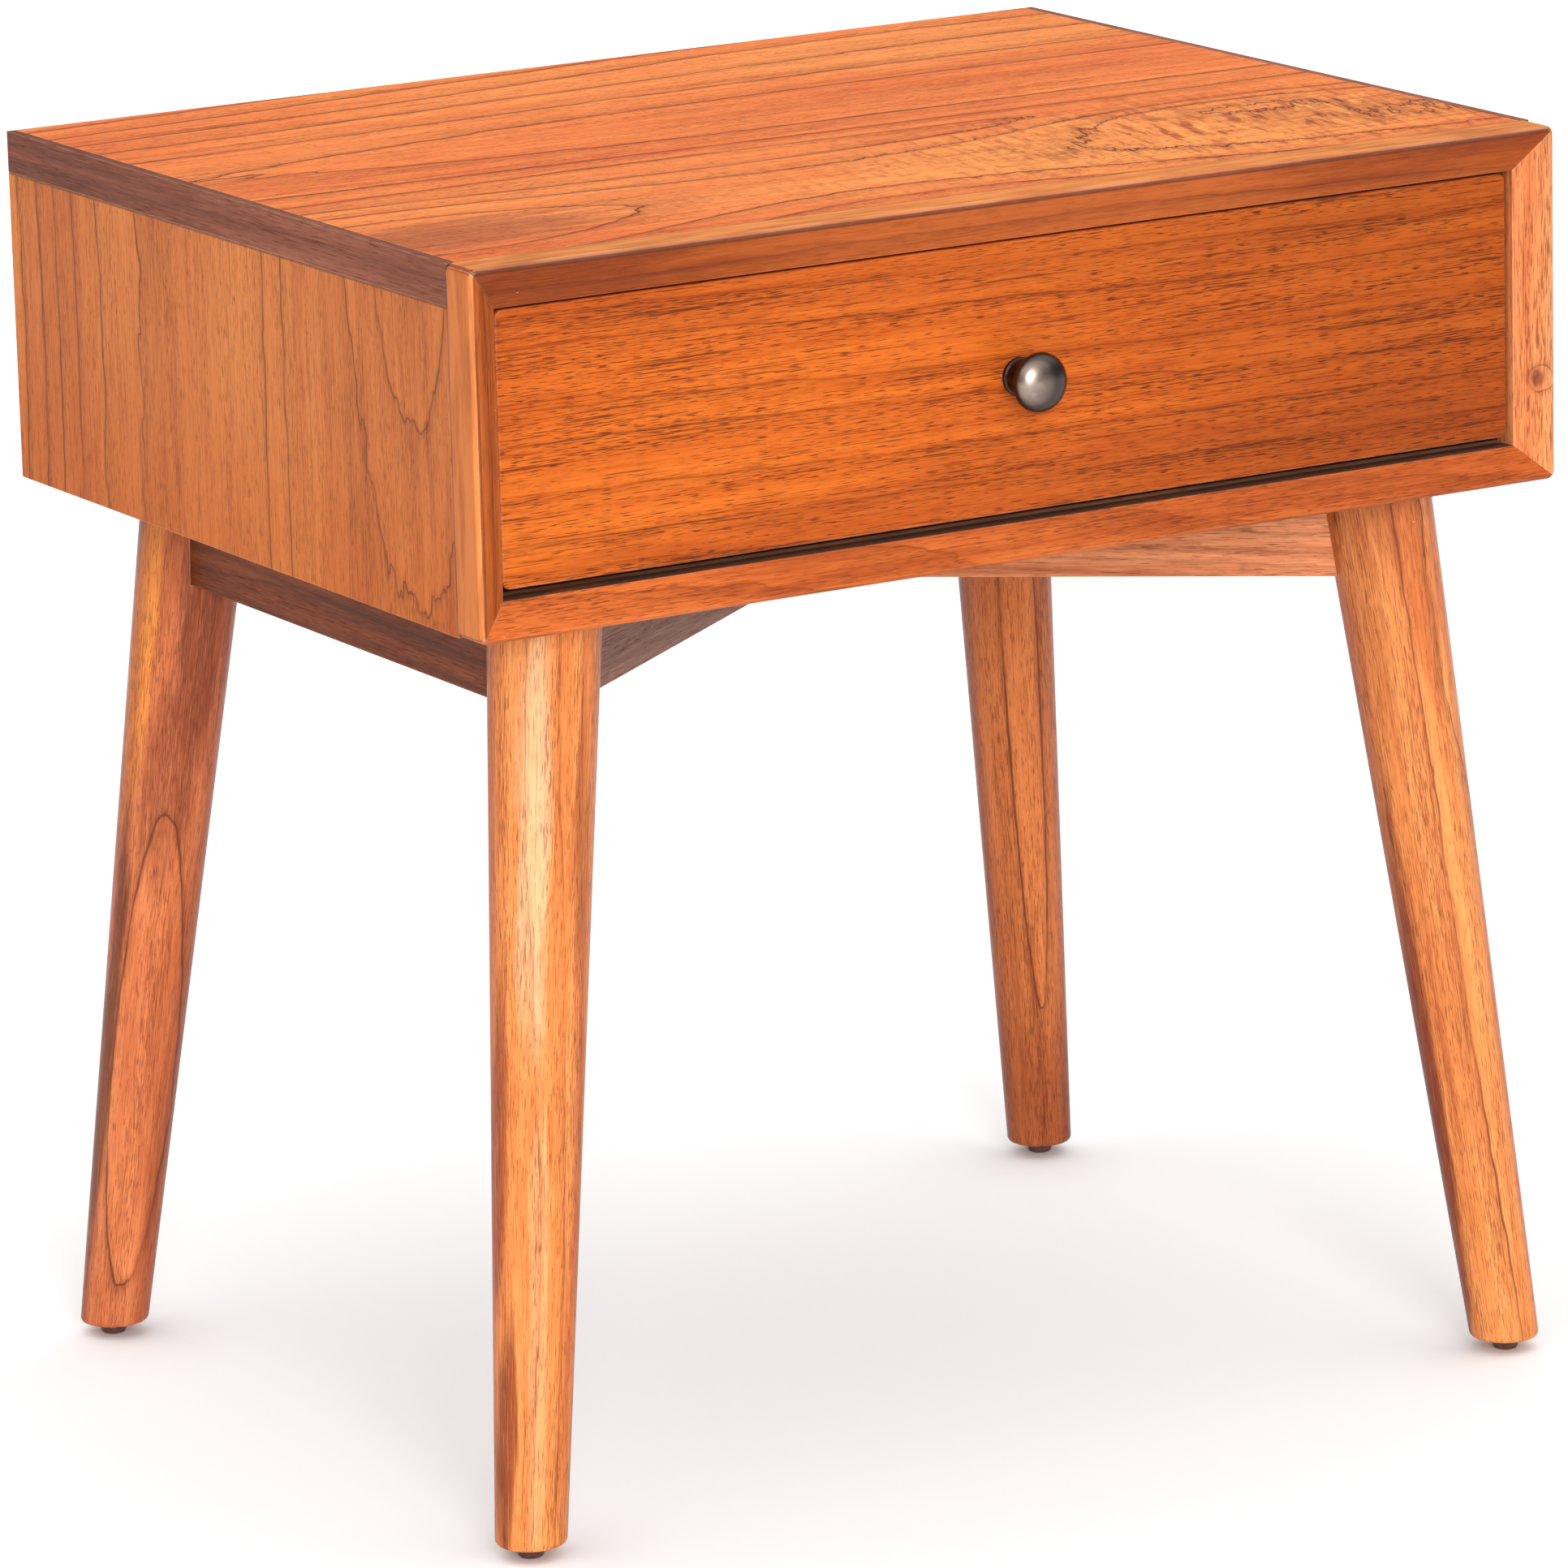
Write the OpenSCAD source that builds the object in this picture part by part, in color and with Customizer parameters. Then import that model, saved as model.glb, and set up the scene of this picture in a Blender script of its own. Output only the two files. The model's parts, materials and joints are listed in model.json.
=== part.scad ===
// Side table with one inset drawer: a box case with a bevelled, mitred front frame,
// on four splayed tapered legs tied by side rails and a diagonal cross stretcher.
// Millimetres, +Z up, the front of the table faces -Y.
// The origin is on the floor, under the centre of the whole table, knob included.

/* [Table] */
// Height of the table top above the floor
table_h = 603; // [540:1:700]
// Width of the case, left to right
case_w = 585; // [520:1:700]
// Depth of the case, front frame included
case_d = 458; // [454:1:470]
// Height of the case, top panel included
case_h = 170; // [160:1:200]

/* [Case panels] */
// Thickness of the top panel
top_t = 20; // [18:0.5:22]
// Width of the solid strip that edges the top on each side
edge_strip_w = 5; // [3:0.5:8]
// Thickness of the side panels
side_t = 19; // [18:0.5:20]
// Thickness of the bottom panel
bottom_t = 18; // [16:0.5:19]
// Thickness of the plywood back panel
back_t = 5; // [4:0.5:6]
// Width of the rabbet that holds the back panel
rabbet_w = 8; // [7:0.5:9]

/* [Front frame] */
// Width of the frame's stiles, seen from the front
stile_w = 17.5; // [16:0.5:19]
// Width of the frame's top rail, seen from the front
top_rail_w = 21; // [20:0.5:24]
// Width of the frame's bottom rail, seen from the front
bottom_rail_w = 16.5; // [15:0.5:18]
// Thickness of the frame, front to back
frame_d = 21; // [19:0.5:24]
// How far the front bevel falls back at its inner edge
bevel_d = 10.5; // [6:0.5:11]
// Width of the narrow flat outside the bevel
bevel_flat = 2; // [1:0.5:3]
// Radius of the frame's four outer corners
frame_corner_r = 4; // [4:0.5:10]
// Radius of the rounded edge round the front of the frame
frame_edge_r = 3; // [1:0.5:4]

/* [Legs] */
// Diameter of a leg where it meets the case
leg_top_d = 53; // [44:1:56]
// Diameter of a leg at its foot
leg_foot_d = 33; // [26:1:36]
// Distance of a leg's axis from the table's middle at the case, left to right
leg_top_x = 227.3; // [200:0.1:240]
// Distance of a leg's axis from the table's middle at the case, front to back
leg_top_y = 170.5; // [150:0.1:180]
// How far a foot stands outside the top of its leg, left to right
splay_x = 45.7; // [10:0.1:50]
// How far a foot stands outside the top of its leg, front to back
splay_y = 40.5; // [10:0.1:45]
// Height of the plastic glide under each leg
glide_h = 6.5; // [4:0.5:10]
// Diameter of a glide where it meets the leg
glide_top_d = 16.5; // [12:0.5:20]
// Diameter of a glide at the floor
glide_floor_d = 11.5; // [9:0.5:16]

/* [Under-frame] */
// Height of the side rails and of the cross stretcher
rail_h = 47; // [35:1:55]
// Thickness of the side rails
rail_t = 22; // [18:1:24]
// Thickness of the boards of the cross stretcher
cross_t = 20; // [16:1:22]

/* [Drawer] */
// How far the drawer front sits behind the front plane of the frame
drawer_inset = 13.5; // [11:0.5:15]
// Thickness of the drawer front
front_t = 18; // [16:0.5:20]
// Gap above the drawer front
gap_top = 1.5; // [1:0.5:3]
// Gap below the drawer front
gap_bottom = 4; // [2:0.5:5]
// Gap at each side of the drawer front
gap_side = 1.8; // [1:0.1:3]
// Radius of the corners of the drawer front
front_corner_r = 4; // [1:0.5:6]
// Thickness of the boards of the drawer box
box_t = 12; // [11:0.5:15]
// Height of the drawer box
box_h = 100; // [80:1:105]
// Depth of the drawer box behind the drawer front
box_d = 405; // [402:1:408]
// Thickness of the drawer bottom
box_bottom_t = 5; // [4:0.5:6]
// Length of the ball-bearing slides
slide_len = 400; // [300:50:400]
// Width of a slide, between case and drawer box
slide_w = 12.7; // [12.7:0.1:12.7]

/* [Knob] */
// Diameter of the knob's dome
knob_d = 28; // [24:1:34]
// Diameter of the knob's base
knob_base_d = 18; // [16:1:24]
// Diameter of the knob's waist
knob_waist_d = 15; // [10:1:17]
// How far the knob stands out from the drawer front
knob_h = 26; // [25:1:30]

/* [Hidden] */
$fn = 64;

// Heights
case_z = table_h - case_h;
under_top_z = table_h - top_t;
floor_z = case_z + bottom_t;
rail_z = case_z - rail_h;
mid_z = (case_z + table_h) / 2;

// The knob stands in front of the case, so the case sits back by half of that
knob_out = knob_h - drawer_inset;
case_y = knob_out / 2;
front_y = case_y - case_d / 2;
back_y = case_y + case_d / 2;
case_front_y = front_y + frame_d;
back_inset = 1;
back_panel_y = back_y - back_inset - back_t;
panel_gap = 0.5;

// Widths
half_w = case_w / 2;
inner_x = half_w - side_t;
open_x = half_w - stile_w;
open_low_z = case_z + bottom_rail_w;
open_high_z = table_h - top_rail_w;

// Drawer
face_y = front_y + drawer_inset;
box_y = face_y + front_t;
box_x = inner_x - slide_w;
box_in_x = box_x - box_t;
box_lift = 6;
box_z = floor_z + box_lift;
groove_lift = 8;
groove_z = box_z + groove_lift;
groove_d = 6;
knob_z = (open_low_z + gap_bottom + open_high_z - gap_top) / 2;

// Slides
slide_setback = 2;
slide_y = box_y + slide_setback;
slide_z = box_z + box_h / 2;
steel_t = 1.2;
ball_gap = 3;
slide_outer_h = 45;
slide_middle_h = slide_outer_h - 2 * (steel_t + ball_gap);
slide_inner_h = slide_middle_h - 2 * (steel_t + ball_gap);
slide_hole_at = [35, 200, 365];

// Fits and small hardware
play = 0.1;
eps = 1;
dowel_d = 8;
small_dowel_d = 6;

// Leg axes: from the case down to the floor. The boards of the under-frame end in the legs, each a
// little short of the leg's axis, and the side rails sit a little outside it
leg_len_z = case_z;
leg_splay = norm([splay_x, splay_y]);
leg_tilt = atan2(leg_splay, leg_len_z);
leg_len = leg_len_z / cos(leg_tilt);
rail_mid_z = case_z - rail_h / 2;
rail_mid_t = (case_z - rail_mid_z) / leg_len_z;
joint_x = leg_top_x + splay_x * rail_mid_t;
joint_y = leg_top_y + splay_y * rail_mid_t;
cross_turn = atan2(joint_y, joint_x);
cross_short = 20;
cross_len = 2 * (norm([joint_x, joint_y]) - cross_short);
rail_out = 2;
rail_x = joint_x + rail_out;
rail_short = 12;
rail_end_y = joint_y - rail_short;

// A block given by its two opposite corners
module block(low, high) {
    translate(low) cube(high - low);
}

// A cylinder along X, Y or Z that starts at a point and runs in the positive direction
module rod_x(at, d, len) {
    translate(at) rotate([0, 90, 0]) cylinder(d = d, h = len);
}

module rod_y(at, d, len) {
    translate(at) rotate([-90, 0, 0]) cylinder(d = d, h = len);
}

module rod_z(at, d, len) {
    translate(at) cylinder(d = d, h = len);
}

// Mirrors the right-hand half to the left when side is -1
module sided(side) {
    mirror([side < 0 ? 1 : 0, 0, 0]) children();
}

// A wood screw pointing up, its head's flat face at z = 0; grow widens it to cut its hole
module wood_screw(d, len, head_d, head_h, grow = 0) {
    rotate_extrude()
        polygon([
            [0, -grow], [head_d / 2 + grow, -grow], [head_d / 2 + grow, head_h],
            [d / 2 + grow, head_h], [d / 2 + grow, len - d], [0, len + grow]
        ]);
}

// A countersunk screw pointing up, its flat head at z = 0
module flat_screw(d, len, head_d, grow = 0) {
    head_h = (head_d - d) / 2;
    rotate_extrude()
        polygon([
            [0, -grow], [head_d / 2 + grow, -grow], [head_d / 2 + grow, 0],
            [d / 2 + grow, head_h], [d / 2 + grow, len - d], [0, len + grow]
        ]);
}

// ---- Dowels of the case and the frame ----

dowel_in_side = 12;
dowel_in_panel = 22;
top_dowel_at = [40, 150, 260, 370];
bottom_dowel_at = [60, 215, 370];
frame_dowel_x = [-190, -65, 65, 190];
frame_dowel_z = [case_z + 42, table_h - 54];
dowel_in_frame = 8;

module case_dowel_set(grow = 0) {
    d = dowel_d + 2 * grow;
    for (side = [-1, 1]) {
        for (at = top_dowel_at)
            rod_z([side * (half_w - side_t / 2), case_front_y + at, under_top_z - dowel_in_panel - grow],
                d, dowel_in_panel + dowel_in_side + 2 * grow);
        for (at = bottom_dowel_at)
            sided(side)
                rod_x([inner_x - dowel_in_panel - grow, case_front_y + at, case_z + bottom_t / 2],
                    d, dowel_in_panel + dowel_in_side + 2 * grow);
    }
}

module frame_dowel_set(grow = 0) {
    d = dowel_d + 2 * grow;
    y = case_front_y - dowel_in_frame - grow;
    len = dowel_in_frame + dowel_in_panel + 2 * grow;
    for (side = [-1, 1], z = frame_dowel_z)
        rod_y([side * (half_w - side_t / 2), y, z], d, len);
    for (x = frame_dowel_x) {
        rod_y([x, y, table_h - top_t / 2], d, len);
        rod_y([x, y, case_z + bottom_t / 2], d, len);
    }
}

// ---- Case ----

module top_edge(side) {
    sided(side)
        block([half_w - edge_strip_w, case_front_y, under_top_z], [half_w, back_y, table_h]);
}

module top_panel() {
    strip_x = half_w - edge_strip_w;
    color("chocolate")
        difference() {
            block([-strip_x, case_front_y, under_top_z], [strip_x, back_y, table_h]);
            block([-inner_x - rabbet_w, back_panel_y, under_top_z - eps],
                [inner_x + rabbet_w, back_y + eps, under_top_z + rabbet_w]);
            case_dowel_set(play);
            frame_dowel_set(play);
            back_screw_set(play);
        }
}

module side_panel(side) {
    color("peru")
        difference() {
            sided(side)
                difference() {
                    block([inner_x, case_front_y, case_z], [half_w, back_y, under_top_z]);
                    block([inner_x - eps, back_panel_y, case_z - eps],
                        [inner_x + rabbet_w, back_y + eps, under_top_z + eps]);
                }
            case_dowel_set(play);
            frame_dowel_set(play);
            back_screw_set(play);
            slide_case_screw_set(play);
        }
}

module bottom_panel() {
    color("burlywood")
        difference() {
            block([-inner_x, case_front_y, case_z], [inner_x, back_panel_y, floor_z]);
            case_dowel_set(play);
            frame_dowel_set(play);
            back_screw_set(play);
            base_screw_set(play);
        }
}

module back_panel() {
    x = inner_x + rabbet_w - panel_gap;
    high = under_top_z + rabbet_w - panel_gap;
    color("burlywood")
        difference() {
            block([-x, back_panel_y, case_z + back_inset], [x, back_panel_y + back_t, high]);
            back_screw_set(play);
        }
}

back_screw_z = [case_z + 30, mid_z - 5, under_top_z - 22];
back_screw_x = [-180, 0, 180];
back_screw_d = 3;
back_screw_len = 18;
back_screw_head_d = 6;

module back_screw_set(grow = 0) {
    y = back_panel_y + back_t;
    for (side = [-1, 1], z = back_screw_z)
        translate([side * (inner_x + rabbet_w / 2), y, z])
            rotate([90, 0, 0]) flat_screw(back_screw_d, back_screw_len, back_screw_head_d, grow);
    for (x = back_screw_x, z = [case_z + bottom_t / 2, under_top_z + rabbet_w / 2])
        translate([x, y, z])
            rotate([90, 0, 0]) flat_screw(back_screw_d, back_screw_len, back_screw_head_d, grow);
}

// ---- Front frame ----

// The front-to-back section of the frame block's edge: square at the back, rounded in front
module rolled_section(reach) {
    difference() {
        square([reach, frame_d]);
        translate([reach - frame_edge_r, 0])
            difference() {
                square(frame_edge_r + eps);
                translate([0, frame_edge_r]) circle(frame_edge_r);
                translate([0, frame_edge_r]) square(frame_edge_r + 2 * eps);
            }
    }
}

// The whole front of the case as one block with rounded corners and a rounded front edge
module frame_block() {
    r = frame_corner_r;
    translate([0, front_y, mid_z]) {
        for (turn = [0, 1])
            rotate([0, 180 * turn, 0]) {
                translate([0, 0, -case_h / 2 + r])
                    linear_extrude(case_h - 2 * r) rolled_section(half_w);
                rotate([0, 90, 0])
                    translate([0, 0, -half_w + r])
                    linear_extrude(case_w - 2 * r) rolled_section(case_h / 2);
            }
        for (sx = [-1, 1], sz = [-1, 1])
            translate([sx * (half_w - r), 0, sz * (case_h / 2 - r)])
                rotate([-90, 0, 0]) rotate_extrude() rolled_section(r);
    }
}

// One frame piece, cut from the frame block: corners is its mitred outline seen from the front,
// and reach, turn and width place the bevel that falls from its outer edge to its inner edge
module frame_piece(corners, reach, turn, width) {
    bevel_turn = atan2(bevel_d, width - bevel_flat);
    bevel_len = norm([bevel_d, width - bevel_flat]);
    difference() {
        intersection() {
            frame_block();
            translate([0, case_front_y, 0])
                rotate([90, 0, 0]) linear_extrude(frame_d) polygon(corners);
        }
        translate([0, front_y, mid_z])
            rotate([0, turn, 0])
            translate([-half_w, 0, reach - bevel_flat])
            rotate([bevel_turn, 0, 0])
            translate([0, -bevel_len, -bevel_len - 2 * eps])
            cube([case_w, bevel_len, bevel_len + 2 * eps]);
        frame_dowel_set(play);
    }
}

module frame_rail(high) {
    outer_z = high ? table_h : case_z;
    inner_z = high ? open_high_z : open_low_z;
    frame_piece(
        [[-half_w, outer_z], [half_w, outer_z], [open_x, inner_z], [-open_x, inner_z]],
        case_h / 2, high ? 0 : 180, high ? top_rail_w : bottom_rail_w);
}

module frame_stile(side) {
    frame_piece(
        [
            [side * half_w, case_z], [side * half_w, table_h],
            [side * open_x, open_high_z], [side * open_x, open_low_z]
        ],
        half_w, side * 90, stile_w);
}

// ---- Legs, glides and under-frame ----

// Lays a leg's axis from the floor up to the case, its seam on the outer side
module on_leg_axis(sx, sy) {
    translate([sx * (leg_top_x + splay_x), case_y + sy * (leg_top_y + splay_y), 0])
        rotate([0, leg_tilt, atan2(-sy * splay_y, -sx * splay_x)])
        rotate([0, 0, 180])
        children();
}

module leg(sx, sy) {
    over = 30;
    taper = (leg_top_d - leg_foot_d) / 2 / leg_len;
    ease = 2;
    foot_t = glide_h / leg_len_z;
    foot = [
        sx * (leg_top_x + splay_x * (1 - foot_t)),
        case_y + sy * (leg_top_y + splay_y * (1 - foot_t)), glide_h
    ];
    color("sandybrown")
        difference() {
            intersection() {
                on_leg_axis(sx, sy)
                    translate([0, 0, -over])
                    cylinder(
                        r1 = leg_foot_d / 2 - taper * over,
                        r2 = leg_top_d / 2 + taper * over,
                        h = leg_len + 2 * over);
                block([-half_w, front_y, glide_h], [half_w, back_y, case_z]);
                translate(foot)
                    cylinder(r1 = leg_foot_d / 2 - ease, r2 = leg_foot_d / 2 - ease + 2 * case_z, h = case_z);
            }
            side_rail_body(sx, 0);
            cross_body(sx * sy, 0);
            rail_dowel_set(play);
            glide_nail_set(play);
        }
}

glide_head_d = 6;
glide_recess = 3;
nail_d = 2.2;
nail_len = 22;

module at_foot(sx, sy) {
    foot_t = glide_h / 2 / leg_len_z;
    translate([
        sx * (leg_top_x + splay_x * (1 - foot_t)),
        case_y + sy * (leg_top_y + splay_y * (1 - foot_t)), 0
    ])
        children();
}

module glide(sx, sy) {
    round_r = 1.5;
    skirt = 0.4;
    color("saddlebrown")
        at_foot(sx, sy)
        difference() {
            rotate_extrude()
                polygon([
                    [0, 0], [glide_floor_d / 2 - round_r, 0],
                    for (a = [15:15:75]) [
                        glide_floor_d / 2 - round_r + round_r * sin(a),
                        round_r - round_r * cos(a)
                    ],
                    [glide_floor_d / 2 + skirt, round_r + skirt],
                    [glide_top_d / 2, glide_h], [0, glide_h]
                ]);
            translate([0, 0, -eps]) cylinder(d = glide_head_d + 1, h = glide_recess + eps);
            cylinder(d = nail_d + 2 * play, h = glide_h + eps);
        }
}

module glide_nail_set(grow = 0) {
    for (sx = [-1, 1], sy = [-1, 1])
        at_foot(sx, sy)
            translate([0, 0, glide_recess - 1])
            wood_screw(nail_d, nail_len, glide_head_d, 1, grow);
}

module side_rail_body(side, grow) {
    sided(side)
        block([rail_x - rail_t / 2 - grow, case_y - rail_end_y - grow, rail_z - grow],
            [rail_x + rail_t / 2 + grow, case_y + rail_end_y + grow, case_z]);
}

module side_rail(side) {
    color("sienna")
        difference() {
            side_rail_body(side, 0);
            rail_dowel_set(play);
            base_screw_set(play);
        }
}

// One board of the cross stretcher: slope 1 runs from front left to rear right
module cross_body(slope, grow) {
    translate([0, case_y, rail_z - grow])
        rotate([0, 0, slope * cross_turn])
        translate([-cross_len / 2 - grow, -cross_t / 2 - grow, 0])
        cube([cross_len + 2 * grow, cross_t + 2 * grow, rail_h + grow]);
}

module cross_stretcher(slope) {
    lap_low = slope > 0 ? rail_z + rail_h / 2 : rail_z - eps;
    lap_high = slope > 0 ? case_z + eps : rail_z + rail_h / 2 + play;
    color("sienna")
        difference() {
            cross_body(slope, 0);
            intersection() {
                cross_body(-slope, play);
                block([-cross_t * 2, case_y - cross_t * 2, lap_low],
                    [cross_t * 2, case_y + cross_t * 2, lap_high]);
            }
            rail_dowel_set(play);
            base_screw_set(play);
        }
}

rail_dowel_step = 22;
side_dowel_z = [rail_mid_z - rail_dowel_step / 2, rail_mid_z + rail_dowel_step / 2];
dowel_half = 13;

module rail_dowel_set(grow = 0) {
    d = dowel_d + 2 * grow;
    len = 2 * (dowel_half + grow);
    for (sx = [-1, 1], sy = [-1, 1], z = side_dowel_z)
        rod_y([sx * rail_x, case_y + sy * rail_end_y - dowel_half - grow, z], d, len);
    for (slope = [-1, 1], sx = [-1, 1])
        translate([0, case_y, rail_mid_z])
            rotate([0, 0, slope * cross_turn])
            rod_x([sx * cross_len / 2 - dowel_half - grow, 0, 0], d, len);
}

base_screw_sink = 22;
base_screw_d = 4;
base_screw_head_d = 8;
base_screw_head_h = 3;
base_screw_bite = 14;
base_screw_len = rail_h - base_screw_sink + base_screw_bite;
rail_screw_at = 80;
cross_screw_at = 130;

module base_screw_spots() {
    for (sx = [-1, 1], sy = [-1, 1])
        translate([sx * rail_x, case_y + sy * rail_screw_at, 0]) children();
    for (slope = [-1, 1], sx = [-1, 1])
        translate([0, case_y, 0])
            rotate([0, 0, slope * cross_turn])
            translate([sx * cross_screw_at, 0, 0]) children();
}

// Screws up through the rails and boards into the bottom panel, heads sunk in wide holes
module base_screw_set(grow = 0) {
    base_screw_spots()
        translate([0, 0, rail_z + base_screw_sink]) {
            wood_screw(base_screw_d, base_screw_len, base_screw_head_d, base_screw_head_h, grow);
            if (grow > 0)
                translate([0, 0, -base_screw_sink - eps])
                    cylinder(d = base_screw_head_d + 2, h = base_screw_sink + eps);
        }
}

// ---- Ball-bearing slides ----

// A C channel along Y, open towards -X, its web's outer face at x = 0
module channel(height, depth, len) {
    half = height / 2;
    rotate([90, 0, 0])
        translate([0, 0, -len])
        linear_extrude(len)
        polygon([
            [0, -half], [0, half], [-depth, half], [-depth, half - steel_t],
            [-steel_t, half - steel_t], [-steel_t, -half + steel_t],
            [-depth, -half + steel_t], [-depth, -half]
        ]);
}

outer_reach = 10.5;
middle_off = 3.6;
middle_reach = 7.6;
inner_reach = 7;
slide_screw_d = 3.5;
slide_screw_head_d = 7;
slide_screw_head_h = 1.8;
case_screw_len = 16;
drawer_screw_len = 12;

module slide_outer(side) {
    color("silver")
        difference() {
            sided(side)
                translate([inner_x, slide_y, slide_z]) channel(slide_outer_h, outer_reach, slide_len);
            slide_case_screw_set(play);
        }
}

module slide_middle(side) {
    color("gainsboro")
        sided(side)
        translate([inner_x - middle_off, slide_y, slide_z])
        channel(slide_middle_h, middle_reach, slide_len);
}

module slide_inner(side) {
    color("silver")
        difference() {
            sided(side)
                translate([box_x, slide_y, slide_z])
                mirror([1, 0, 0]) channel(slide_inner_h, inner_reach, slide_len);
            slide_drawer_screw_set(play);
        }
}

module slide_case_screw_set(grow = 0) {
    for (side = [-1, 1], at = slide_hole_at)
        sided(side)
            translate([inner_x - steel_t - slide_screw_head_h, slide_y + at, slide_z])
            rotate([0, 90, 0])
            wood_screw(slide_screw_d, case_screw_len, slide_screw_head_d, slide_screw_head_h, grow);
}

module slide_drawer_screw_set(grow = 0) {
    for (side = [-1, 1], at = slide_hole_at)
        sided(side)
            translate([box_x + steel_t + slide_screw_head_h, slide_y + at, slide_z])
            rotate([0, -90, 0])
            wood_screw(slide_screw_d, drawer_screw_len, slide_screw_head_d, slide_screw_head_h, grow);
}

// ---- Drawer ----

module drawer_front() {
    x = open_x - gap_side;
    low = open_low_z + gap_bottom;
    high = open_high_z - gap_top;
    r = front_corner_r;
    color("darkorange")
        difference() {
            union() {
                block([-x + r, face_y, low], [x - r, box_y, high]);
                block([-x, face_y, low + r], [x, box_y, high - r]);
                for (sx = [-1, 1], z = [low + r, high - r])
                    rod_y([sx * (x - r), face_y, z], 2 * r, front_t);
            }
            knob_screw_body(play);
            drawer_front_screw_set(play);
        }
}

module box_groove() {
    x = box_in_x + groove_d;
    block([-x, box_y + box_t - groove_d, groove_z],
        [x, box_y + box_d - box_t + groove_d, groove_z + box_bottom_t + 2 * play]);
}

module drawer_side(side) {
    color("wheat")
        difference() {
            sided(side)
                block([box_in_x, box_y, box_z], [box_x, box_y + box_d, box_z + box_h]);
            box_groove();
            box_dowel_set(play);
            slide_drawer_screw_set(play);
        }
}

module drawer_cross_board(y) {
    color("wheat")
        difference() {
            block([-box_in_x, y, box_z], [box_in_x, y + box_t, box_z + box_h]);
            box_groove();
            box_dowel_set(play);
            knob_screw_body(play);
            drawer_front_screw_set(play);
        }
}

module drawer_bottom() {
    x = box_in_x + groove_d - panel_gap;
    y = box_y + box_t - groove_d + panel_gap;
    color("burlywood")
        block([-x, y, groove_z + play],
            [x, 2 * box_y + box_d - y, groove_z + play + box_bottom_t]);
}

box_dowel_z = [30, 55, 80];
box_dowel_len = 26;
box_dowel_in_side = 7;

module box_dowel_set(grow = 0) {
    for (side = [-1, 1], z = box_dowel_z, y = [box_y + box_t / 2, box_y + box_d - box_t / 2])
        sided(side)
            rod_x([box_in_x + box_dowel_in_side - box_dowel_len - grow, y, box_z + z],
                small_dowel_d + 2 * grow, box_dowel_len + 2 * grow);
}

front_screw_x = 200;
front_screw_z = [28, 78];
front_screw_d = 4;
front_screw_len = 26;
front_screw_head_d = 8;
front_screw_head_h = 2.2;

module drawer_front_screw_set(grow = 0) {
    for (sx = [-1, 1], z = front_screw_z)
        translate([sx * front_screw_x, box_y + box_t + front_screw_head_h, box_z + z])
            rotate([90, 0, 0])
            wood_screw(front_screw_d, front_screw_len, front_screw_head_d, front_screw_head_h, grow);
}

// ---- Knob ----

knob_bore_depth = 12;
knob_foot = 2.5;
knob_waist_at = 9;
knob_rim_at = 18;

// A quarter turn from one point to another, leaving the first along the second axis
function quarter(from, to, steps = 6) = [
    for (i = [0:steps])
        let (a = 90 * i / steps)
        [from.x + (to.x - from.x) * (1 - cos(a)), from.y + (to.y - from.y) * sin(a)]
];

// The same, leaving the first point along the first axis
function quarter_flat(from, to, steps = 6) = [
    for (i = [0:steps])
        let (a = 90 * i / steps)
        [from.x + (to.x - from.x) * sin(a), from.y + (to.y - from.y) * (1 - cos(a))]
];

// The knob's outline: distance from its axis, distance out from the drawer front
module knob_outline() {
    base = knob_base_d / 2;
    waist = knob_waist_d / 2;
    dome = knob_d / 2;
    rim_t = 1.2;
    edge = 0.5;
    step = 0.8;
    polygon(concat(
        [[0, 0], [base - edge, 0], [base, edge], [base, knob_foot - 2 * edge]],
        quarter_flat([base - step, knob_foot - 0.2], [waist, knob_waist_at]),
        quarter([waist, knob_waist_at + 1], [dome - 1, knob_rim_at - rim_t], 8),
        [[dome, knob_rim_at - rim_t / 2]],
        quarter([dome, knob_rim_at], [0, knob_h], 10)
    ));
}

module knob() {
    color("dimgray")
        difference() {
            translate([0, face_y, knob_z])
                rotate([90, 0, 0]) rotate_extrude() knob_outline();
            knob_screw_body(play);
        }
}

knob_screw_d = 4;
knob_screw_head_d = 8;
knob_screw_head_h = 2.6;
knob_screw_spare = 3;

module knob_screw_body(grow = 0) {
    len = knob_screw_head_h + box_t + front_t + knob_bore_depth - knob_screw_spare;
    translate([0, box_y + box_t + knob_screw_head_h, knob_z])
        rotate([90, 0, 0]) wood_screw(knob_screw_d, len, knob_screw_head_d, knob_screw_head_h, grow);
}

top_panel();
color("brown") top_edge(-1);  // top_edge_left
color("brown") top_edge(1);  // top_edge_right
side_panel(-1);  // side_panel_left
side_panel(1);  // side_panel_right
bottom_panel();
back_panel();
color("sienna") frame_rail(true);  // frame_top_rail
color("sienna") frame_rail(false);  // frame_bottom_rail
color("sandybrown") frame_stile(-1);  // frame_left_stile
color("sandybrown") frame_stile(1);  // frame_right_stile
color("wheat") case_dowel_set();  // case_dowels
color("wheat") frame_dowel_set();  // frame_dowels
color("gray") back_screw_set();  // back_panel_screws
leg(-1, -1);  // leg_front_left
leg(1, -1);  // leg_front_right
leg(-1, 1);  // leg_rear_left
leg(1, 1);  // leg_rear_right
glide(-1, -1);  // glide_front_left
glide(1, -1);  // glide_front_right
glide(-1, 1);  // glide_rear_left
glide(1, 1);  // glide_rear_right
color("gray") glide_nail_set();  // glide_nails
side_rail(-1);  // side_rail_left
side_rail(1);  // side_rail_right
cross_stretcher(1);  // cross_stretcher_lower
cross_stretcher(-1);  // cross_stretcher_upper
color("wheat") rail_dowel_set();  // rail_dowels
color("gray") base_screw_set();  // base_screws
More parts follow.
